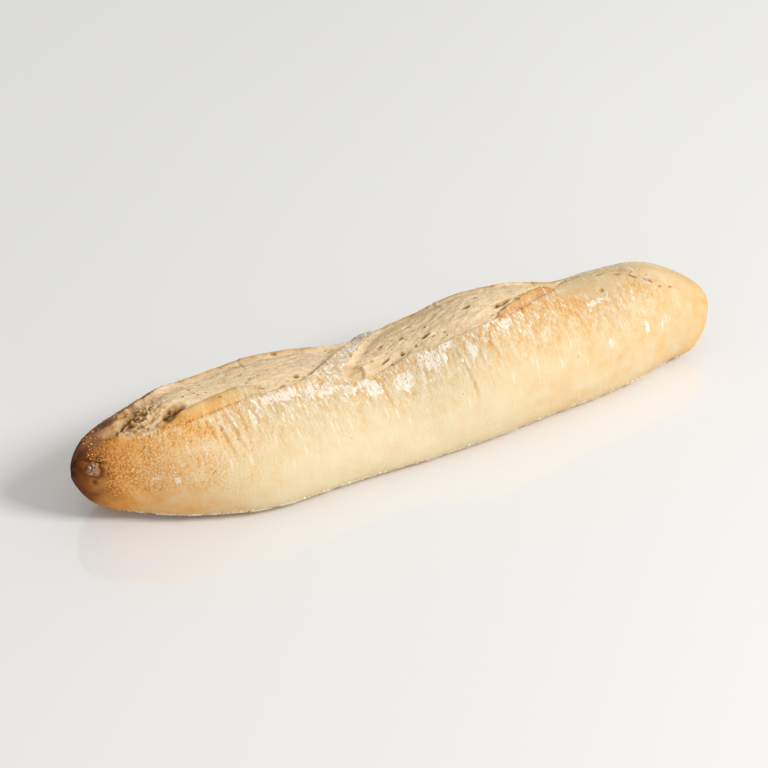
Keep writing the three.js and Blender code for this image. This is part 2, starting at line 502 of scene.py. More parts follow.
SLASHES = (
    Slash(
        near=((-123.5, 4), (-119.5, -0.5), (-109, -4.9), (-96, -7), (-70, -2.5), (-56, -4),
              (-42, -2), (-28, 6.5), (-5, 24)),
        far=((-123.5, 4), (-118.5, 7.8), (-112, 10.8), (-106, 12.6), (-100, 15.6), (-91, 20.8),
             (-80, 24.2), (-62, 27), (-28, 25.6), (-5, 24)),
        rims=((-90, -22),),
        ear=Ear(start=-107.5, end=-60, width=3.0, rise=1.8, bluntness=0.4, spread=3.0, wear=0.7),
        lip_run=30,
        fray_end=-104,
        pores=60,
    ),
    Slash(
        near=((-27, -3.5), (-25, -8.5), (-7, -7), (3, -6.5), (14, -10), (35, -12.7), (53, -9.5),
              (74, 0), (85, 7)),
        far=((-27, -3.5), (-16.4, 7.2), (-7.4, 15.4), (1.6, 20), (10, 20.8), (25, 18), (42, 15),
             (70, 10.5), (85, 7)),
        rims=((2, 56), (64, 82)),
        ear=Ear(start=40, end=76, width=2.6, rise=1.7, bluntness=0.6, raggedness=1.5, mauve=0.5),
        pores=34,
        depth=1.7,
        lip_rise=0.3,
        lip_run=34,
    ),
    Slash(
        near=((82, 6), (90, 6.5), (96, 1.5), (103, -2), (108, -8.5), (121, -16.5), (129, -18),
              (133.5, -14.5)),
        far=((82, 6), (89, 9.5), (101, 8.5), (110, 6), (129, -5), (133.5, -14.5)),
        rims=(),
        ear=None,
        pores=14,
        bareness=0.16,
        depth=0.7,
        lip_rise=0.2,
        fade_run=16,
    ),
)


@dataclass(frozen=True)
class Hollow:
    """A torn or sunken place in a slash floor: a bowl turned from X, seen from above.

    A lean makes it deeper to one side. The bottom shade, the toast and the brink shade are the painted
    shade in its bottom, how golden it is all over, and the painted shade on the edge that it is deeper
    towards.
    """

    x: float
    y: float
    long: float
    wide: float
    depth: float
    turn: float = 0.0
    steepness: float = 1.4
    lean: float = 0.0
    bottom_shade: float = 0.0
    brink_shade: float = 0.0
    torn: float = 0.0
    toast: float = 0.0
    brink_inset: float = 0.16
    brink_width: float = 0.13
    torn_contrast: float = 1.4

    def sink(self, skin: Skin, crumb: Array) -> None:
        """Sinks the bowl into the skin.

        Args:
            skin: The loaf's skin.
            crumb: The torn crumb's height at each point, from -1 to 1.
        """
        away = np.hypot(skin.x - self.x, skin.y - self.y)
        close = np.flatnonzero(skin.top & (away < max(self.long, self.wide)))
        turn = math.radians(self.turn)
        dx = skin.x[close] - self.x
        dy = skin.y[close] - self.y
        along = (dx * math.cos(turn) + dy * math.sin(turn)) / self.long
        across = (dy * math.cos(turn) - dx * math.sin(turn)) / self.wide
        share = ease(self.steepness * (1.0 - np.hypot(along, across)))
        sunk = share * (1.0 + self.lean * (along + across))
        rough = crumb[close]
        skin.height[close] -= self.depth * sunk - self.torn * rough * share
        # Painted shade in the bowl's bottom, darker in its low torn places, and on the edge it is deeper
        # towards.
        dark = self.bottom_shade * sunk * (1.0 - self.torn_contrast * rough * (self.torn > 0.0))
        edge = hill(1.0 - away[close] / self.long, self.brink_inset, self.brink_width)
        brink_shade = self.brink_shade * edge * ease(0.5 + along + across)
        for mark, values in ((Mark.PIT, dark + brink_shade), (Mark.RIM, self.toast * share)):
            skin.marks[mark][close] = np.maximum(skin.marks[mark][close], np.clip(values, 0.0, 1.0))


HOLLOWS = (
    Hollow(-108, 2.6, 13, 6.5, 0.2, 14, torn=1.3, bottom_shade=0.12, toast=0.42),
    Hollow(-104, 11.0, 11, 4.5, 0.2, 24, torn=0.8, bottom_shade=0.16, toast=0.5),
    Hollow(-114, 5.4, 10.5, 8.2, 1.3, 18, torn=2.5, bottom_shade=0.4, toast=0.9),
    Hollow(-99.3, -0.9, 7.8, 3.6, 2.4, 27, steepness=2.2, torn=1.2, bottom_shade=0.85, toast=0.75),
    Hollow(-20.8, -2.4, 5.0, 5.8, 1.0, steepness=3.4, lean=0.3, bottom_shade=0.06, brink_shade=0.14, toast=0.3),
    Hollow(-24, 18, 9.0, 7.0, 2.0, steepness=1.2),
    Hollow(-2.5, 24, 7.0, 5.5, -1.4, steepness=1.2),
    Hollow(-1.5, -4, 7.5, 2.6, 0.9, 12, steepness=2.4),
    Hollow(46.5, -4.2, 7, 1.5, 1.2, 17, torn=0.6, bottom_shade=0.7, toast=0.5),
)

# The larger pores, slits and cracks in the slash floors: each one's place, its length, width and depth,
# its turn, the painted shade in it and how toasted it is.
PORE_ROWS = (
    (-118.9, 4.4, 3.0, 1.5, 2.0, 38, 0.95, 0),
    (-115.3, 6.2, 2.4, 1.7, 2.0, 10, 1.0, 0),
    (-110.3, 8.6, 2.3, 1.3, 1.5, 12, 0.9, 0),
    (-109.0, 4.6, 2.4, 1.6, 1.0, 20, 0.6, 0),
    (-122.0, 2.3, 1.9, 1.0, 1.0, 48, 0.85, 0),
    (-105.6, 6.4, 2.2, 0.8, 0.8, 15, 0.85, 0),
    (-72, 5.2, 3.4, 0.8, 1.0, 7, 0.9, 0),
    (-64.5, 13, 1.6, 0.6, 0.8, 0, 0.6, 0),
    (-61.5, 8.2, 1.8, 0.6, 0.8, -20, 0.7, 0),
    (-58.1, 8.8, 1.3, 0.6, 0.8, 0, 0.6, 0),
    (-60.5, 0.6, 1.9, 0.7, 1.0, 0, 0.9, 0),
    (-52.1, -1.2, 2.2, 0.8, 1.0, 10, 0.7, 0.6),
    (-44.1, 2.4, 1.6, 1.3, 1.5, 0, 0.95, 0),
    (-60.9, 24.5, 2.4, 0.9, 0.9, 0, 0.7, 0.6),
    (-42.7, 25.6, 2.0, 0.9, 0.9, 0, 0.7, 0.6),
    (-38.3, 16.3, 1.4, 0.9, 0.9, 0, 0.8, 0),
    (-33.2, 4.6, 5.4, 0.7, 0.8, 32, 0.7, 0),
    (-10.2, 8.3, 2.0, 1.0, 1.0, 10, 0.8, 0),
    (-11.2, 0.6, 1.0, 0.7, 0.7, 0, 0.7, 0),
    (1, -2.2, 1.3, 1.0, 0.9, 0, 0.85, 0),
    (-6.3, -1.9, 3.0, 0.8, 1.1, 18, 0.9, 0),
    (4.4, 4.7, 1.5, 1.0, 1.1, 0, 0.9, 0),
    (12.4, -1.3, 3.0, 1.1, 1.3, 0, 0.9, 0),
    (2.4, 15.4, 1.9, 1.0, 1.0, 0, 0.8, 0.7),
    (14.8, 3.4, 0.9, 0.7, 0.7, 0, 0.8, 0),
    (7, -3, 0.9, 0.7, 0.7, 0, 0.8, 0),
    (32.4, 0.7, 2.6, 1.2, 1.4, 0, 0.85, 0.5),
    (44.4, -8.6, 2.6, 1.0, 1.2, 8, 1.0, 0),
    (83.2, 6.4, 3.0, 1.1, 0.8, -5, 0.85, 0),
    (87.6, 6.6, 3.4, 1.2, 0.8, -8, 0.8, 0),
    (97.0, 0.6, 3.4, 0.9, 0.7, -4, 0.75, 0.4),
    (102.8, -3.4, 2.6, 0.7, 0.5, -38, 0.5, 0.5),
    (107.4, -7.0, 3.6, 0.9, 0.8, -58, 0.85, 0.5),
    (112.4, -12.0, 2.8, 0.7, 0.6, -48, 0.75, 0),
    (116.2, -15.8, 1.3, 0.6, 0.7, 0, 0.6, 0),
    (121.0, -16.4, 1.3, 0.6, 0.7, 0, 0.7, 0),
    (104.0, 1.0, 9.0, 3.0, 0.4, -38, 0, 0.28),
    (92, -8.6, 1.3, 1.8, 0.9, 0, 0.25, 0.5),
)
PORES = tuple(Hollow(*row[:6], bottom_shade=row[6], toast=row[7]) for row in PORE_ROWS)


@dataclass(frozen=True)
class Pores:
    """Small open bubbles in the slash floors, longer along the loaf than across."""

    seed: int = 11
    length: tuple[float, float] = (0.6, 1.9)
    slimness: tuple[float, float] = (0.35, 0.7)
    depth: tuple[float, float] = (0.35, 1.1)
    # How much painted shade darkens a pore's bottom.
    bottom_shade: tuple[float, float] = (0.2, 0.65)
    turn: float = 25.0
    margin: float = 1.5

    def sink(self, skin: Skin, slashes: tuple[Slash, ...]) -> None:
        """Sinks pores at random places in each slash floor."""
        draw = np.random.default_rng(self.seed)
        for slash in slashes:
            for _ in range(slash.pores):
                x = draw.uniform(slash.start + self.margin, slash.end - self.margin)
                near = slash.edge(slash.near, np.array([x]))[0][0] + self.margin
                far = slash.edge(slash.far, np.array([x]))[0][0] - self.margin
                y = draw.uniform(min(near, far), max(near, far))
                long = draw.uniform(*self.length) * draw.uniform(0.6, 1.0)
                pore = Hollow(
                    x=x,
                    y=y,
                    long=long,
                    wide=long * draw.uniform(*self.slimness),
                    depth=draw.uniform(*self.depth) * min(long, 1.0),
                    turn=draw.uniform(-self.turn, self.turn),
                    bottom_shade=draw.uniform(*self.bottom_shade),
                )
                pore.sink(skin, np.zeros(len(skin.x)))


@dataclass(frozen=True)
class Wrinkles:
    """Creases that run down the crust from the slashes, square to the loaf's length."""

    spacing: float = 1.8
    run: float = 13.0
    depth: float = 0.42
    crease: float = 0.3
    fine_depth: float = 0.4
    wander: float = 1.1
    top_angle: float = 113.0
    far_angle: float = 60.0
    fade: float = 50.0
    crackle_fade: float = 76.0
    loaf_end: float = 140.0
    ends: float = 24.0

    def strength(self, skin: Skin, fade: float) -> Array:
        """How strongly the crust is wrinkled at each point, fading down the sides."""
        down_near = 1.0 - ease((skin.degrees - self.top_angle) / fade)
        down_far = 1.0 - ease((self.far_angle - skin.degrees) / fade)
        ends = ease((self.loaf_end - np.abs(skin.x)) / self.ends - 0.4)
        return down_near * down_far * ends * (1.0 - skin.marks[Mark.FLOOR]) * skin.top

    def fold(self, skin: Skin, uneven: Unevenness) -> Array:
        """Presses the creases in.

        Args:
            skin: The loaf's skin.
            uneven: The random heights to draw the creases with.

        Returns:
            A number at each point, from 0 in a crease to 1 on the crust between creases.
        """
        places = skin.around
        wander = uneven.at(places + 40.0, (14.0, 9.0, 9.0))
        places = places + np.column_stack([self.wander * wander, np.zeros((len(wander), 2))])
        wide = uneven.at(places, (self.spacing, self.run, self.run))
        fine = uneven.at(places + 90.0, (self.spacing / 2.0, self.run / 2.2, self.run))
        breaks = ease(0.8 + 1.6 * uneven.at(places + 15.0, (6.0, 8.0, 8.0)))
        strength = self.strength(skin, self.fade)
        crackle = 0.7 * strength + 0.3 * self.strength(skin, self.crackle_fade)
        crackle *= 0.25 + 0.75 * rise(skin.x, -104.0, -70.0)
        crackle *= 1.0 - 0.7 * rise(skin.x, 70.0, 85.0) * (1.0 - rise(skin.degrees, 94.0, 109.0))
        crust = 1.0 - skin.marks[Mark.RIM]
        skin.raise_mark(Mark.CRACKLE, crackle * crust)
        strength *= (1.0 - 0.7 * rise(skin.x, 62.0, 92.0)) * crust
        open_wide = ease(1.0 - np.abs(wide) / self.crease) * breaks
        open_fine = ease(1.0 - np.abs(fine) / self.crease)
        skin.height -= strength * self.depth * (open_wide + self.fine_depth * open_fine)
        return 1.0 - strength * np.maximum(open_wide, 0.55 * open_fine)


@dataclass(frozen=True)
class Crease:
    """One long fold or crack down the side, by its ends along and around the loaf."""

    x: float
    top: float
    end_x: float
    bottom: float
    width: float = 0.9
    depth: float = 0.5
    swell: float = 0.25
    bluntness: float = 0.6
    wander: float = 0.6
    bake: float = 0.16

    def press(self, skin: Skin, wander: Array) -> None:
        """Presses the fold in, with a swelling beside it."""
        share = (skin.degrees - self.top) / (self.bottom - self.top)
        here = skin.top & (share > 0.0) & (share < 1.0)
        taper = np.where(here, np.sin(math.pi * np.clip(share, 0.0, 1.0)) ** self.bluntness, 0.0)
        off = skin.x - self.x - (self.end_x - self.x) * share - self.wander * wander
        valley = taper * bell(off / (0.5 * self.width))
        skin.height += taper * self.swell * bell((off - 1.5 * self.width) / self.width)
        skin.height -= self.depth * valley
        # Painted shade: the fold's valley is browned.
        skin.marks[Mark.BAKE] += self.bake * valley


CREASES = (
    Crease(-90, 110, -88, 136),
    Crease(-85.5, 109, -83.5, 146, depth=0.7, swell=0.45),
    Crease(-81, 110, -79, 141, depth=0.6, swell=0.4),
    Crease(-76, 108, -75, 132),
    Crease(-69.5, 109, -69, 128, depth=0.4),
    Crease(-23, 110, -21, 134, depth=0.45),
    Crease(-15, 112, -13.5, 137, depth=0.4),
    Crease(18.6, 120, 19.8, 158, depth=0.45),
    Crease(31.2, 112, 33.4, 138, depth=0.6),
    Crease(51, 112, 53, 140, depth=0.4),
    Crease(74, 108, 76, 130, depth=0.4),
    Crease(-60, 70, -58, 44),
    Crease(25, 72, 27, 40),
    Crease(70, 66, 71, 40),
)


@dataclass(frozen=True)
class Bridge:
    """The crust between the first two slashes, pulled into fine ridges."""

    line: Line = ((-46, -12), (-27, 1), (-17, 10.5), (-8.5, 18), (6, 27))
    half_width: float = 5.5
    near_fade: float = 8.0
    far_fade: float = 3.0
    ridge_spacing: float = 1.6
    ridge_height: float = 0.34
    ridge_turn: float = -28.8
    ridge_wander: float = 3.5
    grey_from: float = -24.0
    grey_run: float = 12.0
    flour: float = 0.38
    grey: float = 0.55
    far_flour_and_ridge_shade: float = 0.2

    def gather(self, skin: Skin, uneven: Unevenness) -> None:
        """Pulls the ridges up and greys the bridge's far end, with painted light on the ridge tops and
        painted shade between them.
        """
        places, sides = np.array(self.line, float).T
        away = np.abs(skin.y - smooth_curve(places, sides, np.clip(skin.x, places[0], places[-1])))
        ends = ease((skin.x - places[0]) / self.near_fade) * ease((places[-1] - skin.x) / self.far_fade)
        here = skin.top * ends * ease(1.6 - away / self.half_width) * (1.0 - skin.marks[Mark.FLOOR])
        turn = math.radians(self.ridge_turn)
        across = skin.y * math.cos(turn) - skin.x * math.sin(turn)
        wander = uneven.layered(skin.space + 400.0, (6.0, 3.0, 3.0), 2)
        ridges = np.sin(2.0 * math.pi * across / self.ridge_spacing + self.ridge_wander * wander)
        skin.height += self.ridge_height * here * ridges
        far_end = ease((skin.x - self.grey_from) / self.grey_run)
        # More flour on the ridge tops and more grey between them: painted light and shade on the ridges.
        # The far end gets more flour as well.
        flour = self.flour + self.far_flour_and_ridge_shade * far_end + self.far_flour_and_ridge_shade * ridges
        skin.raise_mark(Mark.FLOUR, here * flour)
        skin.lower_mark(Mark.CRACKLE, 0.6 * here)
        skin.raise_mark(Mark.GREY, here * far_end * (self.grey - self.far_flour_and_ridge_shade * ridges))


@dataclass(frozen=True)
class Patch:
    """A patch of a mark on the crust, by its place along and around the loaf."""

    x: float
    angle: float
    long: float
    tall: float
    strength: float

    def raise_on(self, skin: Skin, mark: Mark, ragged: Array, softness: float) -> None:
        """Raises a mark in the patch.

        Args:
            skin: The loaf's skin.
            mark: The mark to raise.
            ragged: How far the patch's edge wanders at each point.
            softness: How gently it fades at the edge, as a share of its size.
        """
        along = (skin.x - self.x) / self.long
        down = (skin.angle - math.radians(self.angle)) * ROUND_MM / self.tall
        inside = (1.0 - np.hypot(along, down) + 0.4 * ragged) / softness + 0.5
        skin.raise_mark(mark, self.strength * ease(inside))


# Where the flour lies thick.
FLOUR_PATCHES = (
    Patch(-59.5, 107.5, 4.4, 2.6, 0.9),
    Patch(-53, 108.5, 4.0, 2.6, 0.95),
    Patch(-43.5, 109.5, 3.4, 2.6, 0.85),
    Patch(-38.0, 111.5, 4.0, 2.6, 1.0),
    Patch(-18.6, 116.5, 4.4, 4.8, 1.0),
    Patch(-5.0, 118.5, 3.8, 5.0, 1.0),
    Patch(10.0, 112.5, 6.6, 4.8, 1.0),
    Patch(16.8, 107.5, 3.4, 2.4, 0.9),
    Patch(36.1, 108, 4.4, 2.2, 0.85),
    Patch(42.5, 113.5, 3.6, 2.8, 0.8),
    Patch(24.0, 122, 2.2, 4.6, 0.65),
    Patch(-28.5, 114, 4.0, 3.0, 0.7),
    Patch(104, 150, 1.2, 4.6, 0.85),
    Patch(112, 151, 1.1, 3.2, 0.7),
    Patch(85.5, 150, 1.1, 3.6, 0.7),
    Patch(85.9, 109, 3.4, 1.8, 0.6),
    Patch(-79.1, 116, 1.4, 5.0, 0.4),
    Patch(-84.0, 119, 1.3, 5.0, 0.5),
    Patch(-70.5, 116, 1.6, 4.4, 0.5),
    Patch(-113.2, 163.5, 1.5, 1.4, 0.85),
    Patch(-106.2, 165, 1.0, 1.4, 0.7),
    Patch(-120, 161, 1.3, 1.2, 0.45),
    Patch(-126.2, 98, 3.4, 5.0, 0.2),
    Patch(-60, 68, 9.0, 4.0, 0.6),
    Patch(20, 64, 12.0, 5.0, 0.6),
    Patch(62, 58, 8.0, 5.0, 0.5),
)

# Where the crust is browner than round it.
STAINS = (
    # The first three, high on the left tip's far side, are partly browning and partly painted shade.
    Patch(-124, 80, 7.0, 7.5, 0.9),
    Patch(-116, 70, 9.0, 6.0, 0.78),
    Patch(-102, 62, 14.0, 6.0, 0.62),
    Patch(84, 92, 7.0, 5.0, 0.24),
    Patch(14.0, 110, 2.4, 1.8, 0.42),
    Patch(13.2, 104.5, 1.6, 1.2, 0.42),
    Patch(-14.7, 112.5, 1.3, 3.0, 0.36),
    Patch(30.0, 114, 2.0, 1.8, 0.3),
    Patch(32.0, 122, 1.2, 3.2, 0.29),
    Patch(27.8, 120, 1.4, 1.6, 0.28),
    Patch(91.6, 99.5, 2.0, 2.6, 0.24),
    Patch(130.5, 146, 4.5, 9.0, 0.25),
    Patch(100.3, 157, 3.2, 2.2, 0.25),
    Patch(88.1, 164, 2.2, 2.4, 0.24),
    Patch(60.5, 121, 8.0, 7.0, 0.16),
    Patch(-93, 124, 5.0, 6.0, 0.34),
    Patch(-60, 150, 8.0, 5.0, 0.17),
    Patch(5, 150, 9.0, 5.0, 0.14),
)

# Where the crust is golden, as on a slash's edge.
GOLDEN_PATCHES = (
    Patch(-125.4, 102.0, 2.6, 4.4, 0.6),
    Patch(-121.6, 109.0, 2.8, 3.0, 0.45),
)

# Where the slash floors, and the crust before them, are greyer.
GREY_FLOORS = (
    Patch(-33.0, 79.0, 9.0, 7.0, 0.55),
    Patch(-106.0, 72.0, 16.0, 6.0, 0.3),
    Patch(-127.0, 94.0, 8.0, 9.0, 0.16),
)


@dataclass(frozen=True)
class Pucker:
    """The pinched end of the dough in the left tip, with a small hole under it."""

    place: Size = (-133.9, -0.2, 26.7)
    radius: float = 2.5
    rise: float = 0.9
    folds: int = 9
    fold_rise: float = 0.62
    groove: float = 0.9
    groove_width: float = 0.8
    hole: Size = (-134.2, -1.2, 21.0)
    hole_radius: float = 0.9
    hole_depth: float = 1.2
    arc: Size = (0.0, 2.2, 2.9)
    arc_depth: float = 0.9
    arc_width: float = 0.6
    arc_end: float = -124.0

    def gather(self, skin: Skin, wander: Array) -> None:
        """Gathers the skin into the knob, its groove, the crease over it and the hole."""
        offset = skin.space - np.array(self.place)
        turn = np.arctan2(offset[:, 2], offset[:, 1])
        uneven = 0.15 * np.cos(2.0 * turn + 0.5) + 0.12 * np.cos(3.0 * turn - 1.1) + 0.2 * wander
        away = np.linalg.norm(offset, axis=1) * (1.0 + uneven)
        folds = np.cos(self.folds * turn + 4.5 * wander + 0.8)
        knob = ease(1.7 - 1.25 * away / self.radius)
        ring = hill(away, 1.3 * self.radius, self.groove_width)
        near_side = ease(0.5 - offset[:, 1] / 4.0)
        across, up = (skin.space - (np.array(self.place) + np.array(self.arc)))[:, 1:].T
        arc = bell(up / self.arc_width + 0.05 * across**2) * ease(2.1 - np.abs(across) / 2.7)
        arc = np.where(skin.x < self.arc_end, arc, 0.0)
        gap = np.linalg.norm(skin.space - np.array(self.hole), axis=1)
        hole = bell(gap / self.hole_radius)
        skin.height += self.rise * knob + self.fold_rise * knob * folds - self.arc_depth * arc
        skin.height -= self.groove * ring * (0.4 + 0.9 * near_side) + self.hole_depth * hole
        skin.lower_mark(Mark.FLOUR, knob + ring)
        skin.raise_mark(Mark.FLOUR, knob * (0.12 + 0.3 * folds))
        skin.raise_mark(Mark.GREY, knob * (0.46 + 0.2 * folds))
        # Painted shade in the hole, in the groove on the near side and in the crease over the knob.
        skin.raise_mark(Mark.PIT, 0.8 * hole + 0.65 * ring * near_side + 0.6 * arc)


@dataclass(frozen=True)
class Baking:
    """How brown the crust is: deep brown at the left tip, pale in the middle."""

    along: Line = (
        (-140, 0.9), (-137, 0.78), (-133, 0.67), (-128, 0.58), (-122, 0.46), (-112, 0.32),
        (-98, 0.25), (-85, 0.16), (-60, 0.09), (-20, 0.08), (20, 0.09), (60, 0.16), (100, 0.17),
        (125, 0.21), (140, 0.26),
    )
    patch_size: Size = (15.0, 8.0, 8.0)
    patch_share: float = 0.16
    tip_top_brown_and_shade: float = 0.08
    tip_side: float = 0.06
    shoulder: float = 0.1
    floured_shoulder: float = 0.05
    base: float = 0.14
    softness: float = 1.4
    sand_drop: float = 10.0

    def brown(self, skin: Skin, uneven: Unevenness) -> None:
        """Marks how brown each point is, and how sandy."""
        places, shares = np.array(self.along, float).T
        patches = uneven.layered(skin.space + 300.0, self.patch_size, 3)
        bake = smooth_curve(places, shares, skin.x) * (1.0 + self.patch_share * patches)
        tip = 1.0 - rise(skin.x, -128.0, -106.0)
        from_crest = np.abs(skin.degrees - 90.0)
        upper = 1.0 - rise(from_crest, 26.0, 52.0)
        lower = rise(from_crest, 52.0, 82.0)
        # Browner on the tip's top, partly browning and partly painted shade, and paler low on its sides.
        bake += tip * (self.tip_top_brown_and_shade * upper - self.tip_side * lower)
        bake += self.on_shoulder(skin)
        # Painted light: the far side of the right end is made paler against the shade it lies in.
        far_right_painted_light = rise(skin.x, 78.0, 93.0) * ease((88.0 - skin.degrees) / 15.0) * skin.top
        bake *= 1.0 - 0.25 * far_right_painted_light
        base = ~skin.top * ease(1.5 - skin.z / 2.0)
        skin.raise_mark(Mark.BAKE, skin.marks[Mark.BAKE] + bake + self.base * base)
        for stain in STAINS:
            stain.raise_on(skin, Mark.BAKE, patches, self.softness)
        sandy = 1.0 - rise(skin.x, -112.0, -57.0)
        sides = 1.0 - ease((from_crest - 74.0 - self.sand_drop * tip) / 16.0)
        bare_tip = ease((skin.x + 136.0 - 4.5 * ease((31.0 - skin.z) / 6.0)) / 3.0)
        skin.raise_mark(Mark.SAND, sandy * sides * bare_tip * (0.75 + 0.5 * patches))
        skin.lower_mark(Mark.SAND, skin.marks[Mark.RIM])

    def on_shoulder(self, skin: Skin) -> Array:
        """How much browner the loaf's shoulders are, and less so where flour covers them."""
        shoulder = hill(skin.degrees, 106.0, 9.0) + hill(skin.degrees, 66.0, 12.0)
        middle = rise(skin.x, -80.0, -50.0) * (1.0 - rise(skin.x, 15.0, 40.0))
        right = rise(skin.x, 30.0, 60.0) + rise(skin.x, 76.0, 92.0)
        left = hill(skin.x, -84.0, 20.0)
        return shoulder * (self.shoulder - self.floured_shoulder * (middle + right + 1.5 * left))


# ---- The loaf ----


@dataclass
class Loaf:
    """The whole bread, one closed skin."""

    form: LoafForm = field(default_factory=LoafForm)
    slashes: tuple[Slash, ...] = SLASHES
    hollows: tuple[Hollow, ...] = HOLLOWS
    pores: Pores = field(default_factory=Pores)
    wrinkles: Wrinkles = field(default_factory=Wrinkles)
    creases: tuple[Crease, ...] = CREASES
    bridge: Bridge = field(default_factory=Bridge)
    patches: tuple[Patch, ...] = FLOUR_PATCHES
    pucker: Pucker = field(default_factory=Pucker)
    baking: Baking = field(default_factory=Baking)
    rings: int = 244
    ring_points: int = 98
    end_crowding: float = 1.2
    top_crowding: float = 0.25
    near_angles: tuple[float, float] = (90.0, 152.0)
    tip_angles: tuple[float, float] = (60.0, 200.0)
    tip_end: float = -126.0
    edge_margin: float = 3.0
    floor_margin: float = 0.8
    pucker_margin: float = 2.4
    ragged_size: Size = (3.4, 2.6, 2.6)
    ragged_reach: float = 0.5
    crumb_size: Size = (3.0, 2.0, 2.0)
    strand_size: Size = (6.0, 2.2, 2.2)
    strand_height: float = 0.36
    swell_size: Size = (22.0, 14.0, 14.0)
    swell_height: float = 0.35
    rough_size: Size = (2.4, 2.4, 2.4)
    rough_height: float = 0.08
    crease_shade: float = 0.1
    base_round: float = 6.0
    grey_softness: float = 1.2
    golden_softness: float = 1.4
    flour_softness: float = 0.5
    seed: int = 5

    def build(self, finish: "CrustFinish") -> bpy.types.Object:
        """Models the loaf and dresses it.

        Args:
            finish: The finish of the crust.

        Returns:
            The finished piece.
        """
        loaf = self.ball()
        self.refine(loaf, self.wants_half_size)
        self.refine(loaf, self.wants_quarter_size)
        skin = self.lay_skin(loaf)
        self.add_relief(skin)
        self.move_skin(loaf, skin)
        self.settle(loaf)
        self.keep_marks(loaf, skin)
        loaf.data.materials.append(finish.material())
        return loaf

    def ball(self) -> bpy.types.Object:
        """A ball whose rings and points become the loaf's, with its poles at the tips."""
        bpy.ops.object.select_all(action="DESELECT")
        bpy.ops.mesh.primitive_uv_sphere_add(
            segments=self.ring_points,
            ring_count=self.rings,
            radius=1.0,
            rotation=(0.0, math.pi / 2.0, 0.0),
        )
        bpy.ops.object.transform_apply(location=False, rotation=True, scale=False)
        bpy.ops.object.shade_smooth()
        ball = bpy.context.object
        ball.name = "loaf_crust"
        return ball

    def places(self, directions: Array) -> tuple[Array, Array]:
        """Turns directions from the ball's middle into places on the loaf.

        Args:
            directions: One direction a row.

        Returns:
            The places along the loaf and the directions around it.
        """
        round_y, round_z = directions[:, 1], directions[:, 2]
        tilt = np.arctan2(np.hypot(round_y, round_z), -directions[:, 0])
        share = 2.0 * tilt / math.pi - 1.0
        reach = 1.0 - (1.0 - np.abs(share)) ** self.end_crowding
        x = np.sign(share) * reach * self.form.length / 2.0
        around = np.arctan2(round_z, round_y) - math.pi / 2.0
        turn = (around + math.pi) % (2.0 * math.pi) / math.pi - 1.0
        crowded = turn * (1.0 - self.top_crowding) + self.top_crowding * turn**3
        return x, math.pi / 2.0 + math.pi * crowded

    def slash_reach(self, x: Array, y: Array) -> Array:
        """How far inside the nearest slash each place seen from above is."""
        reaches = [
            np.where((x > s.start - 2.0) & (x < s.end + 2.0), np.minimum(*s.inside(x, y)), -99.0)
            for s in self.slashes
        ]
        return np.max(reaches, axis=0)

    def wants_half_size(self, x: Array, angle: Array) -> Array:
        """Which faces show wrinkles, and are halved once."""
        y, _ = self.form.section(x, angle)
        degrees = np.degrees(angle)
        near_side = (degrees > self.near_angles[0]) & (degrees < self.near_angles[1])
        left_tip = (x < self.tip_end) & (degrees > self.tip_angles[0]) & (degrees < self.tip_angles[1])
        on_top = (self.slash_reach(x, y) > -self.edge_margin) & (degrees > 0.0) & (degrees < 180.0)
        return near_side | left_tip | on_top

    def wants_quarter_size(self, x: Array, angle: Array) -> Array:
        """Which faces show a slash or the pucker, and are halved twice."""
        y, z = self.form.section(x, angle)
        degrees = np.degrees(angle)
        on_slash = (self.slash_reach(x, y) > -self.floor_margin) & (degrees > 0.0) & (degrees < 180.0)
        offset = np.column_stack([x, y, z]) - self.pucker.place
        on_pucker = np.linalg.norm(offset, axis=1) < self.pucker_margin * self.pucker.radius
        return on_slash | on_pucker

    def refine(self, ball: bpy.types.Object, wanted: Callable[[Array, Array], Array]) -> None:
        """Halves the faces that a rule picks.

        Args:
            ball: The piece, still a ball.
            wanted: Takes places along and around the loaf, and says which to halve.
        """
        mesh = ball.data
        middles = np.empty(len(mesh.polygons) * 3)
        mesh.polygons.foreach_get("center", middles)
        chosen = wanted(*self.places(middles.reshape(-1, 3)))
        bpy.context.tool_settings.mesh_select_mode = (False, False, True)
        for parts in (mesh.vertices, mesh.edges):
            parts.foreach_set("select", np.zeros(len(parts), bool))
        mesh.polygons.foreach_set("select", chosen)
        bpy.ops.object.mode_set(mode="EDIT")
        bpy.ops.mesh.subdivide(number_cuts=1, ngon=False)
        bpy.ops.object.mode_set(mode="OBJECT")

    def lay_skin(self, loaf: bpy.types.Object) -> Skin:
        """Moves the ball's points to the plain form, and returns them as a skin."""
        directions = spots(loaf.data)
        self.number(loaf.data, directions)
        x, angle = self.places(directions)
        y, z = self.form.section(x, angle)
        move_spots(loaf.data, np.column_stack([x, y, z]) * MM)
        return Skin.plain(x, y, z, angle)

    @staticmethod
    def number(mesh: bpy.types.Mesh, directions: Array) -> None:
        """Numbers the points by where they are on the ball, the same way on every run."""
        numbers = np.empty(len(directions), np.int32)
        numbers[np.lexsort(directions.T)] = np.arange(len(directions))
        mesh.attributes.new(POINT_NUMBER, "INT", "POINT").data.foreach_set("value", numbers)

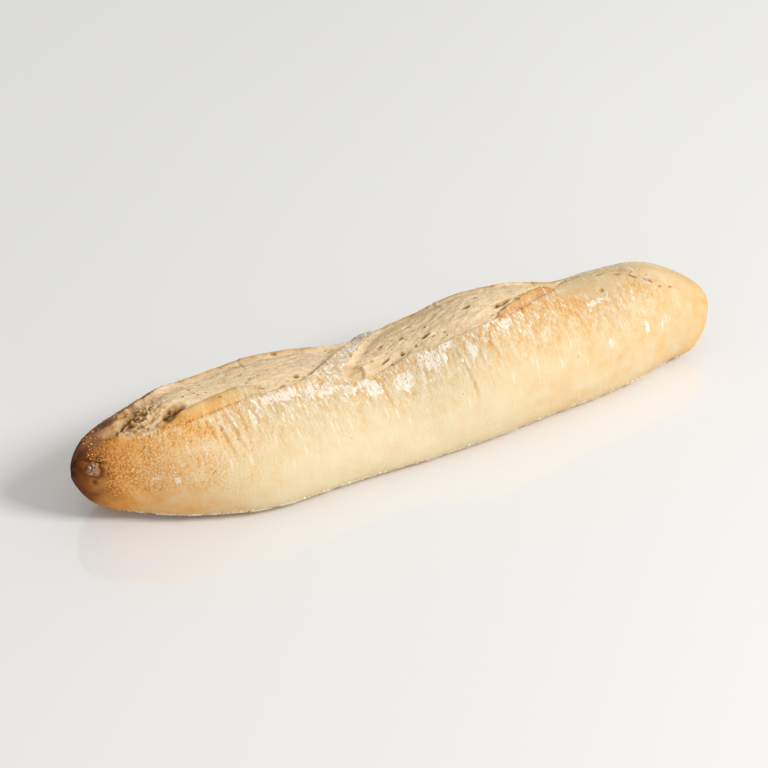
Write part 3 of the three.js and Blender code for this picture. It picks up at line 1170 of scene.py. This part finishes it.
    def add_relief(self, skin: Skin) -> None:
        """Adds all of the relief and the marks to the skin."""
        uneven = Unevenness(self.seed)
        ragged = self.ragged_reach * uneven.layered(skin.space, self.ragged_size, 3)
        for slash in self.slashes:
            slash.cut(skin, ragged)
        floor = skin.marks[Mark.FLOOR].copy()
        crumb = uneven.layered(skin.space + 55.0, self.crumb_size, 3)
        for hollow in self.hollows:
            hollow.sink(skin, crumb)
        for pore in PORES:
            pore.sink(skin, np.zeros(len(skin.x)))
        self.pores.sink(skin, self.slashes)
        strands = uneven.layered(skin.space + 120.0, self.strand_size, 3)
        skin.height += self.strand_height * strands * floor
        self.bridge.gather(skin, uneven)
        between = self.wrinkles.fold(skin, uneven)
        for crease in self.creases:
            crease.press(skin, strands)
        swell = uneven.layered(skin.space + 200.0, self.swell_size, 2)
        rough = uneven.layered(skin.space + 250.0, self.rough_size, 2)
        skin.height += self.swell_height * swell + self.rough_height * rough * (1.0 - floor)
        # Painted shade: the crust is browned in the creases between the wrinkles.
        skin.marks[Mark.BAKE] += self.crease_shade * (1.0 - between)
        self.baking.brown(skin, uneven)
        self.dust(skin, uneven, between)
        for patch in GREY_FLOORS:
            patch.raise_on(skin, Mark.GREY, strands, self.grey_softness)
        for patch in GOLDEN_PATCHES:
            patch.raise_on(skin, Mark.RIM, strands, self.golden_softness)
        self.pucker.gather(skin, strands)

    def dust(self, skin: Skin, uneven: Unevenness, between: Array) -> None:
        """Dusts flour along the shoulder, in patches and on the base.

        Args:
            skin: The loaf's skin.
            uneven: The random heights to spread the flour with.
            between: A number at each point that is low in a crease.
        """
        ragged = uneven.layered(skin.around + 130.0, (2.0, 4.0, 4.0), 3)
        spread = uneven.layered(skin.around + 170.0, (12.0, 10.0, 10.0), 2)
        shoulder = hill(skin.degrees, 111.0, 11.0) + 0.45 * hill(skin.degrees, 122.0, 20.0)
        shoulder *= 1.0 - 0.8 * rise(skin.x, 75.0, 95.0)
        shoulder += hill(skin.degrees, 62.0, 18.0) * (0.7 - 0.5 * rise(skin.x, 60.0, 75.0))
        middle = rise(skin.x, -85.0, -55.0) * (1.0 - rise(skin.x, 20.0, 65.0))
        cover = shoulder * (0.12 + 0.26 * middle) * (0.8 + 0.5 * spread)
        skin.raise_mark(Mark.FLOUR, (cover + 0.12 * ragged * shoulder) * (0.15 + 0.85 * between))
        skin.raise_mark(Mark.FLOUR, 0.45 * ~skin.top * ease(2.0 - 2.0 * skin.z))
        for patch in self.patches:
            patch.raise_on(skin, Mark.FLOUR, ragged, self.flour_softness)
        skin.marks[Mark.FLOUR] *= (0.75 + 0.25 * between) * (1.0 - 0.85 * skin.marks[Mark.FLOOR])
        skin.lower_mark(Mark.FLOUR, skin.marks[Mark.RIM])

    def move_skin(self, loaf: bpy.types.Object, skin: Skin) -> None:
        """Moves each point out by its height, and the ears' edges over the slash floors."""
        mesh = loaf.data
        outward = np.empty(len(mesh.vertices) * 3)
        mesh.vertices.foreach_get("normal", outward)
        flat_base = np.where(skin.top, 1.0, ease(skin.z / self.base_round))
        moved = skin.space + outward.reshape(-1, 3) * (skin.height * flat_base)[:, None]
        moved[:, 1] += skin.sideways
        moved[:, 2] = np.maximum(moved[:, 2], 0.0)
        move_spots(mesh, moved * MM)

    @staticmethod
    def settle(loaf: bpy.types.Object) -> None:
        """Fits the piece's box into the box of the solid that it stands for."""
        low, high = (np.array(corner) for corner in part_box("loaf"))
        own = spots(loaf.data)
        own_low, own_high = own.min(axis=0), own.max(axis=0)
        scale = np.minimum((high - low) / (own_high - own_low), 1.0)
        moved = (own - (own_low + own_high) / 2.0) * scale + (low + high) / 2.0
        moved[:, 2] += low[2] - moved[:, 2].min()
        move_spots(loaf.data, moved)

    @staticmethod
    def keep_marks(loaf: bpy.types.Object, skin: Skin) -> None:
        """Writes the marks on the mesh, where the finish reads them."""
        for mark, values in skin.marks.items():
            layer = loaf.data.attributes.new(mark.value, "FLOAT", "POINT")
            layer.data.foreach_set("value", values.astype(np.float32))


@dataclass
class FlourGrains:
    """Coarse flour that clings to the crust: many tiny lumps in one mesh."""

    count: int = 4600
    smallest: float = 0.15
    largest: float = 0.46
    flattest: float = 0.5
    sunk: float = 0.25
    edge_level: float = 3.2
    edge_height: float = 1.7
    edge_share: float = 9.0
    flour_share: float = 0.7
    stray_share: float = 0.0015
    clump_size: Size = (5.0, 4.0, 4.0)
    seed: int = 23

    def build(self, loaf: bpy.types.Object, finish: "GrainFinish") -> bpy.types.Object:
        """Scatters the lumps on the finished loaf.

        Args:
            loaf: The loaf, with its marks.
            finish: The finish of the lumps.

        Returns:
            The finished piece.
        """
        bpy.ops.object.select_all(action="DESELECT")
        bpy.ops.mesh.primitive_ico_sphere_add(subdivisions=1, radius=1.0)
        piece = bpy.context.object
        piece.name = "flour_grains"
        lump = spots(piece.data)
        sides = np.array([face.vertices[:] for face in piece.data.polygons])
        draw = np.random.default_rng(self.seed)
        places, outward, toast = self.scatter(loaf, draw)
        points, toast = self.lumps(lump, places, outward, toast, draw)
        faces = sides[None] + len(lump) * np.arange(len(points))[:, None, None]
        mesh = bpy.data.meshes.new("flour_grains")
        mesh.from_pydata(points.reshape(-1, 3), [], faces.reshape(-1, 3).tolist())
        layer = mesh.attributes.new(Mark.BAKE.value, "FLOAT", "POINT")
        layer.data.foreach_set("value", np.repeat(toast, len(lump)).astype(np.float32))
        piece.data = mesh
        bpy.ops.object.shade_smooth()
        mesh.materials.append(finish.material())
        return piece

    @staticmethod
    def read(mesh: bpy.types.Mesh, mark: Mark) -> Array:
        """A mark's values on the mesh."""
        values = np.empty(len(mesh.vertices), np.float32)
        mesh.attributes[mark.value].data.foreach_get("value", values)
        return values.astype(float)

    def density(self, mesh: bpy.types.Mesh) -> Array:
        """How thickly the lumps lie at each of the loaf's points."""
        x, y, z = spots(mesh).T / MM
        marks = (Mark.FLOOR, Mark.PIT, Mark.FLOUR, Mark.SAND)
        floor, pit, flour, sand = (self.read(mesh, mark) for mark in marks)
        edge = hill(z, self.edge_level, self.edge_height) * ease((z - 0.2) / 0.4) * (y < 0.0)
        edge *= 1.0 - 0.7 * rise(x, -60.0, -20.0)
        thick = sand + self.flour_share * flour + self.edge_share * edge + self.stray_share
        clumps = Unevenness(self.seed).layered(np.column_stack([x, y, z]), self.clump_size, 3)
        return thick * ease(0.3 + 1.2 * clumps) * (1.0 - 0.9 * floor) * (1.0 - pit) * (z > 0.3)

    @staticmethod
    def corners(mesh: bpy.types.Mesh) -> Array:
        """The corners of the mesh's triangles, in the same order on every run."""
        mesh.calc_loop_triangles()
        corners = np.array([side.vertices[:] for side in mesh.loop_triangles])
        numbers = np.empty(len(mesh.vertices), np.int32)
        layer = mesh.attributes[POINT_NUMBER]
        layer.data.foreach_get("value", numbers)
        mesh.attributes.remove(layer)
        turned = (numbers[corners].argmin(axis=1)[:, None] + np.arange(3)) % 3
        corners = np.take_along_axis(corners, turned, axis=1)
        return corners[np.lexsort(numbers[corners].T)]

    def scatter(self, loaf: bpy.types.Object, draw: np.random.Generator) -> tuple[Array, Array, Array]:
        """Picks places on the loaf.

        Args:
            loaf: The loaf, with its marks.
            draw: The random numbers.

        Returns:
            The places, the directions out of the crust there, and how toasted each lump is.
        """
        mesh = loaf.data
        corners = self.corners(mesh)
        ends = spots(mesh)[corners]
        outward = np.cross(ends[:, 1] - ends[:, 0], ends[:, 2] - ends[:, 0])
        area = np.linalg.norm(outward, axis=1)
        chance = area * self.density(mesh)[corners].mean(axis=1)
        chosen = draw.choice(len(corners), self.count, p=chance / chance.sum())
        shares = draw.dirichlet((1.0, 1.0, 1.0), self.count)
        places = np.sum(ends[chosen] * shares[:, :, None], axis=1)
        bake = self.read(mesh, Mark.BAKE)[corners[chosen]].mean(axis=1)
        toast = np.clip(2.6 * bake + 0.05 + draw.normal(0.0, 0.2, self.count), 0.0, 1.0)
        toast *= 0.15 + 0.85 * rise(places[:, 2] / MM, 4.0, 7.0)
        return places, outward[chosen] / area[chosen][:, None], toast

    def lumps(self, lump: Array, places: Array, outward: Array, toast: Array,
              draw: np.random.Generator) -> tuple[Array, Array]:
        """Shapes the lumps and seats them in the crust.

        Args:
            lump: One lump's points.
            places: Where the lumps go.
            outward: The directions out of the crust.
            toast: How toasted each lump is.
            draw: The random numbers.

        Returns:
            Each lump's points, and how toasted it is, without those that leave the solid's box.
        """
        size = MM * self.smallest * (self.largest / self.smallest) ** draw.random(self.count)
        beside = np.cross(outward, draw.normal(size=(self.count, 3)))
        beside /= np.linalg.norm(beside, axis=1)[:, None]
        third = np.cross(outward, beside)
        stretch = draw.uniform(self.flattest, 1.0, (self.count, 2))
        shaped = lump[None] * draw.uniform(0.8, 1.15, (self.count, len(lump), 1))
        axes = (beside, third * stretch[:, :1], outward * stretch[:, 1:])
        points = sum(shaped[:, :, i, None] * axis[:, None] for i, axis in enumerate(axes))
        seat = places + outward * (size * (stretch[:, 1] - 2.0 * self.sunk))[:, None]
        points = points * size[:, None, None] + seat[:, None]
        low, high = (np.array(corner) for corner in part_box("loaf"))
        inside = np.all((points >= low) & (points <= high), axis=(1, 2))
        return points[inside], toast[inside]


# ---- Finishes ----


@dataclass
class Graph:
    """Builds a node tree a node at a time. A value that is a socket is linked."""

    tree: bpy.types.NodeTree

    def put(self, node: bpy.types.Node, key: str | int, value: object) -> None:
        """Links or sets one input of a node."""
        if isinstance(value, bpy.types.NodeSocket):
            self.tree.links.new(value, node.inputs[key])
        else:
            node.inputs[key].default_value = value

    def node(self, kind: str, out: str | int = 0, **inputs: object) -> Socket:
        """Adds a node.

        Args:
            kind: The node's type.
            out: Which output to return.
            **inputs: The inputs, with _ for a space in their names.

        Returns:
            The wanted output.
        """
        node = self.tree.nodes.new(kind)
        for key, value in inputs.items():
            self.put(node, key.replace("_", " "), value)
        return node.outputs[out]

    def maths(self, operation: str, a: object, b: object = 0.0) -> Socket:
        """Adds a sum of two numbers."""
        node = self.tree.nodes.new("ShaderNodeMath")
        node.operation = operation
        self.put(node, 0, a)
        self.put(node, 1, b)
        return node.outputs[0]

    def times(self, a: object, b: object) -> Socket:
        """One number times another."""
        return self.maths("MULTIPLY", a, b)

    def plus(self, first: object, *others: object) -> Socket:
        """The sum of some numbers."""
        for other in others:
            first = self.maths("ADD", first, other)
        return first

    def stretch(self, value: Socket, low: float, high: float, to: tuple[float, float] = (0, 1)) -> Socket:
        """Maps a number from one range to another, and holds it inside."""
        return self.node("ShaderNodeMapRange", Value=value, From_Min=low, From_Max=high,
                         To_Min=to[0], To_Max=to[1])

    def blend(self, share: object, a: object, b: object, way: str = "MIX") -> Socket:
        """Mixes two colours by a share."""
        node = self.tree.nodes.new("ShaderNodeMix")
        node.data_type = "RGBA"
        node.blend_type = way
        self.put(node, 0, share)
        self.put(node, 6, a)
        self.put(node, 7, b)
        return node.outputs[2]

    def ramp(self, value: Socket, stops: tuple[tuple[float, Colour], ...]) -> Socket:
        """Turns a number into a colour by a ramp."""
        node = self.tree.nodes.new("ShaderNodeValToRGB")
        elements = node.color_ramp.elements
        while len(elements) < len(stops):
            elements.new(0.5)
        for element, (place, colour) in zip(elements, stops):
            element.position = place
            element.color = colour
        self.put(node, 0, value)
        return node.outputs[0]

    def millimetres(self, squeeze: Size = (1.0, 1.0, 1.0)) -> Socket:
        """Places on the object in millimetres, squeezed each way."""
        where = self.node("ShaderNodeTexCoord", out="Object")
        node = self.tree.nodes.new("ShaderNodeMapping")
        self.put(node, "Vector", where)
        self.put(node, "Scale", tuple(s / MM for s in squeeze))
        return node.outputs[0]

    def noise(self, where: Socket, size: float, detail: float = 2.0, rough: float = 0.5) -> Socket:
        """Adds soft random patches of a size in millimetres."""
        return self.node("ShaderNodeTexNoise", Vector=where, Scale=1.0 / size, Detail=detail,
                         Roughness=rough)

    def wander(self, where: Socket, size: float, reach: float) -> Socket:
        """Shifts places by soft random amounts, so that straight patterns run crooked."""
        noise = self.node("ShaderNodeTexNoise", out="Color", Vector=where, Scale=1.0 / size, Detail=2.0)
        node = self.tree.nodes.new("ShaderNodeVectorMath")
        node.operation = "MULTIPLY_ADD"
        for key, value in enumerate((noise, (reach, reach, reach), where)):
            self.put(node, key, value)
        return node.outputs[0]

    def dots(self, where: Socket, spacing: float, share: float, radius: float) -> Socket:
        """Adds scattered dots.

        Args:
            where: Places in millimetres.
            spacing: How far apart the places for dots are.
            share: How many of those places have a dot, from 0 to 1.
            radius: A dot's radius, as a share of the spacing.

        Returns:
            A mask that is 1 in the dots.
        """
        node = self.tree.nodes.new("ShaderNodeGroup")
        node.node_tree = Dots.tree()
        for key, value in (("Place", where), ("Size", spacing), ("Share", share), ("Radius", radius)):
            self.put(node, key, value)
        return node.outputs["Dots"]

    def mark(self, mark: Mark) -> Socket:
        """Reads a mark from the mesh."""
        node = self.tree.nodes.new("ShaderNodeAttribute")
        node.attribute_name = mark.value
        return node.outputs["Fac"]


class Dots:
    """Small round dots at random places, a group that the finishes share."""

    NAME = "scattered_dots"

    @classmethod
    def tree(cls) -> bpy.types.NodeTree:
        """Makes the group, the first time that it is asked for."""
        if cls.NAME in bpy.data.node_groups:
            return bpy.data.node_groups[cls.NAME]
        tree = bpy.data.node_groups.new(cls.NAME, "ShaderNodeTree")
        tree.interface.new_socket("Place", in_out="INPUT", socket_type="NodeSocketVector")
        for name in ("Size", "Share", "Radius"):
            tree.interface.new_socket(name, in_out="INPUT", socket_type="NodeSocketFloat")
        tree.interface.new_socket("Dots", in_out="OUTPUT", socket_type="NodeSocketFloat")
        given = tree.nodes.new("NodeGroupInput").outputs
        graph = Graph(tree)
        cells = tree.nodes.new("ShaderNodeTexVoronoi")
        graph.put(cells, "Vector", given["Place"])
        graph.put(cells, "Scale", graph.maths("DIVIDE", 1.0, given["Size"]))
        edge = graph.maths("SUBTRACT", given["Radius"], cells.outputs["Distance"])
        dot = graph.stretch(edge, -0.03, 0.09)
        chance = graph.node("ShaderNodeSeparateColor", Color=cells.outputs["Color"])
        picked = graph.stretch(graph.maths("SUBTRACT", given["Share"], chance), -0.02, 0.02)
        end = tree.nodes.new("NodeGroupOutput")
        graph.put(end, "Dots", graph.times(dot, picked))
        return tree


def new_finish(name: str) -> tuple[bpy.types.Material, bpy.types.Node]:
    """Makes a material with nodes, and returns it with its shader."""
    material = bpy.data.materials.new(name)
    material.use_nodes = True
    return material, material.node_tree.nodes["Principled BSDF"]


@dataclass(frozen=True)
class CrustFinish:
    """Baked crust, torn crumb in the slashes, and flour. The crust's colours go from pale to brown."""

    crust: tuple[tuple[float, str], ...] = (
        (0.0, "decfac"), (0.13, "dcc59d"), (0.25, "dbb680"), (0.35, "daa260"), (0.45, "ce8d46"),
        (0.58, "ab7239"), (0.75, "80491f"), (0.9, "5c2f11"), (1.0, "3e1b06"),
    )
    crumb_pale: str = "f0dbb8"
    crumb_dark: str = "d6b384"
    rim_pale: str = "d4af72"
    rim_dark: str = "bb8b48"
    grey: str = "cdb49c"
    # The colour of the painted shade in pores, cracks and holes.
    pit: str = "74491f"
    flour: str = "f4eadb"
    roughness: float = 0.8
    gloss: float = 0.14
    bump_height: float = 0.0003
    bump_strength: float = 0.8
    granule_relief: float = 0.5
    streak_relief: float = 0.5
    crack_relief: float = 3.5
    flour_relief: float = 0.3

    def material(self) -> bpy.types.Material:
        """Makes the material."""
        material, shader = new_finish("floured_crust")
        graph = Graph(material.node_tree)
        place = graph.millimetres()
        down = graph.millimetres((1.0, 0.22, 0.22))
        along = graph.millimetres((0.35, 1.0, 1.0))
        mottle = graph.noise(place, 6.0, 3.0)
        sand = graph.noise(place, 0.8, 3.0, 0.65)
        streaks = graph.noise(down, 0.8, 3.0, 0.6)
        granules = graph.dots(place, 1.15, 0.75, 0.44)
        specks = graph.dots(place, 0.8, 0.3, 0.4)
        cell, border = self.crackle(graph)
        tint = graph.maths("SUBTRACT", graph.stretch(cell, 0.0, 0.7, (0.08, -0.06)), border)
        crust = self.crust_colour(graph, mottle, sand, granules, tint)
        crumb, pinholes = self.crumb_colour(graph, along, sand)
        pale, dark = linear(self.rim_pale), linear(self.rim_dark)
        golden = graph.blend(graph.stretch(mottle, 0.35, 0.65), pale, dark)
        bare = graph.mark(Mark.FLOOR)
        ashen = graph.times(graph.mark(Mark.GREY), graph.stretch(sand, 0.38, 0.6, (0.45, 1.3)))
        dusting = self.dusting(graph, down, streaks, specks, cell)
        colour = crust
        for share, coat in (
            (bare, crumb),
            (graph.mark(Mark.RIM), golden),
            (ashen, linear(self.grey)),
            # Painted shade in the pores, cracks and holes.
            (graph.mark(Mark.PIT), linear(self.pit)),
            (dusting, linear(self.flour)),
        ):
            colour = graph.blend(share, colour, coat)
        graph.put(shader, "Base Color", colour)
        shader.inputs["Roughness"].default_value = self.roughness
        shader.inputs["Specular IOR Level"].default_value = self.gloss
        raised = graph.plus(
            sand,
            graph.times(granules, graph.times(graph.mark(Mark.SAND), self.granule_relief)),
            graph.times(streaks, self.streak_relief),
            graph.times(border, self.crack_relief),
            graph.times(dusting, self.flour_relief),
        )
        height = graph.maths("SUBTRACT", raised, graph.times(pinholes, bare))
        normal = graph.node("ShaderNodeBump", Strength=self.bump_strength, Distance=self.bump_height,
                            Height=height)
        graph.put(shader, "Normal", normal)
        return material

    @staticmethod
    def crackle(graph: Graph) -> tuple[Socket, Socket]:
        """Cracks the crust into small plates below the slashes.

        Args:
            graph: The material's nodes.

        Returns:
            A random number for each plate, and the cracks, which are below 0.
        """
        where = graph.wander(graph.millimetres((1.0, 0.45, 0.45)), 1.6, 1.4)
        strength = graph.mark(Mark.CRACKLE)
        found = []
        for feature, out in (("F1", "Color"), ("DISTANCE_TO_EDGE", "Distance")):
            plates = graph.tree.nodes.new("ShaderNodeTexVoronoi")
            plates.feature = feature
            graph.put(plates, "Vector", where)
            graph.put(plates, "Scale", 1.0)
            found.append(plates.outputs[out])
        cell = graph.node("ShaderNodeSeparateColor", Color=found[0])
        border = graph.stretch(found[1], 0.0, 0.12, (-0.1, 0.0))
        middling = graph.times(graph.maths("SUBTRACT", cell, 0.4), strength)
        return graph.plus(middling, 0.4), graph.times(border, strength)

    def crust_colour(self, graph: Graph, mottle: Socket, sand: Socket, granules: Socket,
                     tint: Socket) -> Socket:
        """Colours the crust by how brown it is.

        Args:
            graph: The material's nodes.
            mottle: Wide soft patches.
            sand: Fine grain.
            granules: Coarse light grains.
            tint: How much browner the plates and cracks are.

        Returns:
            The colour.
        """
        bake = graph.plus(graph.mark(Mark.BAKE), graph.stretch(mottle, 0.3, 0.7, (-0.05, 0.05)))
        sandy = graph.mark(Mark.SAND)
        grain = graph.plus(graph.times(sandy, 0.72), 0.07)
        fine = graph.times(graph.stretch(sand, 0.35, 0.65, (-0.22, 0.28)), grain)
        sown = graph.times(graph.stretch(mottle, 0.38, 0.58, (0.2, 1.0)), sandy)
        light = graph.times(graph.times(granules, sown), -0.24)
        tone = graph.plus(bake, fine, light, tint)
        return graph.ramp(tone, tuple((place, linear(code)) for place, code in self.crust))

    def crumb_colour(self, graph: Graph, along: Socket, sand: Socket) -> tuple[Socket, Socket]:
        """Colours the bare crumb.

        Args:
            graph: The material's nodes.
            along: Places stretched along the loaf.
            sand: Fine grain.

        Returns:
            The colour, and the smallest pores.
        """
        strands = graph.noise(along, 1.4, 3.0, 0.6)
        pinholes = graph.dots(along, 1.7, 0.22, 0.2)
        shade = graph.stretch(graph.plus(strands, sand), 0.7, 1.3)
        crumb = graph.blend(shade, linear(self.crumb_pale), linear(self.crumb_dark))
        # The smallest pores are darkened with the painted-shade colour.
        return graph.blend(graph.times(pinholes, 0.7), crumb, linear(self.pit)), pinholes

    def dusting(self, graph: Graph, down: Socket, streaks: Socket, specks: Socket,
                cell: Socket) -> Socket:
        """Spreads the flour, with crisp edges and fine cracks.

        Args:
            graph: The material's nodes.
            down: Places stretched down the sides.
            streaks: Fine streaks down the sides.
            specks: Small grains.
            cell: A random number for each small plate of crust.

        Returns:
            How much flour lies at each place.
        """
        crackle = graph.mark(Mark.CRACKLE)
        plated = graph.stretch(cell, 0.45, 0.95, (0.0, 0.48))
        amount = graph.plus(graph.mark(Mark.FLOUR), graph.times(plated, crackle))
        flecks = graph.dots(down, 2.0, 0.3, 0.3)
        flecks = graph.times(flecks, graph.stretch(crackle, 0.0, 0.2, (0.0, 0.34)))
        plates = graph.tree.nodes.new("ShaderNodeTexVoronoi")
        plates.feature = "DISTANCE_TO_EDGE"
        graph.put(plates, "Vector", down)
        graph.put(plates, "Scale", 1.0 / 1.3)
        cracks = graph.stretch(plates.outputs["Distance"], 0.02, 0.12, (0.45, 1.0))
        wavering = graph.plus(amount, graph.stretch(streaks, 0.3, 0.7, (-0.3, 0.3)))
        sheet = graph.times(graph.stretch(wavering, 0.4, 0.72, (0.0, 0.92)), cracks)
        grains = graph.times(specks, graph.stretch(amount, 0.1, 0.5, (0.0, 0.6)))
        return graph.maths("MAXIMUM", graph.maths("MAXIMUM", sheet, grains), flecks)


@dataclass(frozen=True)
class GrainFinish:
    """Coarse flour, white where the crust is pale and toasted where it is brown."""

    white: str = "f3e6cc"
    toasted: str = "dea661"
    roughness: float = 0.85
    gloss: float = 0.1

    def material(self) -> bpy.types.Material:
        """Makes the material."""
        material, shader = new_finish("coarse_flour")
        graph = Graph(material.node_tree)
        spotted = graph.dots(graph.millimetres(), 0.3, 0.5, 0.4)
        toast = graph.plus(graph.mark(Mark.BAKE), graph.times(spotted, 0.1))
        graph.put(shader, "Base Color", graph.blend(toast, linear(self.white), linear(self.toasted)))
        shader.inputs["Roughness"].default_value = self.roughness
        shader.inputs["Specular IOR Level"].default_value = self.gloss
        return material


@dataclass(frozen=True)
class FloorFinish:
    """A plain pale, glossy surface."""

    colour: str = "e7e6e3"
    roughness: float = 0.08
    refraction: float = 1.75

    def material(self) -> bpy.types.Material:
        """Makes the material."""
        material, shader = new_finish("pale_floor")
        shader.inputs["Base Color"].default_value = linear(self.colour)
        shader.inputs["Roughness"].default_value = self.roughness
        shader.inputs["IOR"].default_value = self.refraction
        return material


# ---- The scene round the loaf ----


@dataclass(frozen=True)
class SoftLight:
    """A square studio light that points at the loaf, with its place and size in metres."""

    name: str
    place: Size
    size: float
    power: float


@dataclass
class Studio:
    """The floor, the lights, the pale surroundings and the camera."""

    floor_size: float = 6.0
    surroundings: float = 0.578
    lights: tuple[SoftLight, ...] = (
        SoftLight("key_light", (0.96, -1.02, 1.17), 0.55, 25.5),
        SoftLight("low_left_light", (-1.0, -1.3, 0.35), 0.9, 1.5),
        SoftLight("low_front_light", (-0.3, -1.8, 0.2), 0.36, 5.3),
    )
    camera_turn: float = 28.823
    camera_tilt: float = 38.0
    camera_distance: float = 1097.52
    aim_right: float = -5.330
    aim_up: float = 18.642
    aim_far: float = -0.9
    focal_length: float = 126.5625
    film_width: float = 36.0

    def build(self, finish: FloorFinish) -> None:
        """Sets the studio up round the loaf."""
        self.lay_floor(finish)
        for light in self.lights:
            self.hang(light)
        self.light_surroundings()
        self.aim_camera()
        view = bpy.context.scene.view_settings
        view.view_transform = "Standard"

    def lay_floor(self, finish: FloorFinish) -> None:
        """Lays the pale floor."""
        bpy.ops.object.select_all(action="DESELECT")
        bpy.ops.mesh.primitive_plane_add(size=self.floor_size)
        floor = bpy.context.object
        floor.name = "floor"
        floor.data.materials.append(finish.material())

    @staticmethod
    def hang(light: SoftLight) -> None:
        """Hangs one light, pointed at the loaf."""
        data = bpy.data.lights.new(light.name, "AREA")
        data.size = light.size
        data.energy = light.power
        lamp = bpy.data.objects.new(light.name, data)
        place = Vector(light.place)
        lamp.location = place
        lamp.rotation_euler = (-place).to_track_quat("-Z", "Y").to_euler()
        # The glossy floor shows the loaf, but no lamp.
        lamp.visible_glossy = False
        bpy.context.scene.collection.objects.link(lamp)

    def light_surroundings(self) -> None:
        """Makes the surroundings evenly pale."""
        world = bpy.data.worlds.new("pale_surroundings")
        world.use_nodes = True
        background = world.node_tree.nodes["Background"]
        background.inputs["Color"].default_value = WHITE
        background.inputs["Strength"].default_value = self.surroundings
        bpy.context.scene.world = world

    def aim_camera(self) -> None:
        """Stands the camera where it sees the loaf as it is shown."""
        turn = math.radians(self.camera_turn)
        tilt = math.radians(self.camera_tilt)
        level = Vector((math.sin(turn), math.cos(turn), 0.0))
        ahead = level * math.cos(tilt) + Vector((0.0, 0.0, -math.sin(tilt)))
        right = Vector((math.cos(turn), -math.sin(turn), 0.0))
        aim = right * self.aim_right + Vector((0.0, self.aim_far, self.aim_up))
        data = bpy.data.cameras.new("camera")
        data.lens = self.focal_length
        data.sensor_width = self.film_width
        camera = bpy.data.objects.new("camera", data)
        camera.location = (aim - ahead * self.camera_distance) * MM
        camera.rotation_euler = ahead.to_track_quat("-Z", "Y").to_euler()
        bpy.context.scene.collection.objects.link(camera)
        bpy.context.scene.camera = camera


def report(piece: bpy.types.Object) -> None:
    """Logs a piece's name and how fine it is."""
    triangles = sum(len(face.vertices) - 2 for face in piece.data.polygons)
    LOG.info("%s: %d triangles", piece.name, triangles)


def main() -> None:
    """Builds the loaf and the studio."""
    logging.basicConfig(level=logging.INFO, format="%(name)s %(message)s")
    loaf = Loaf().build(CrustFinish())
    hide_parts("loaf")
    grains = FlourGrains().build(loaf, GrainFinish())
    for piece in (loaf, grains):
        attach(piece, "root")
        report(piece)
    Studio().build(FloorFinish())


if __name__ == "__main__":
    main()
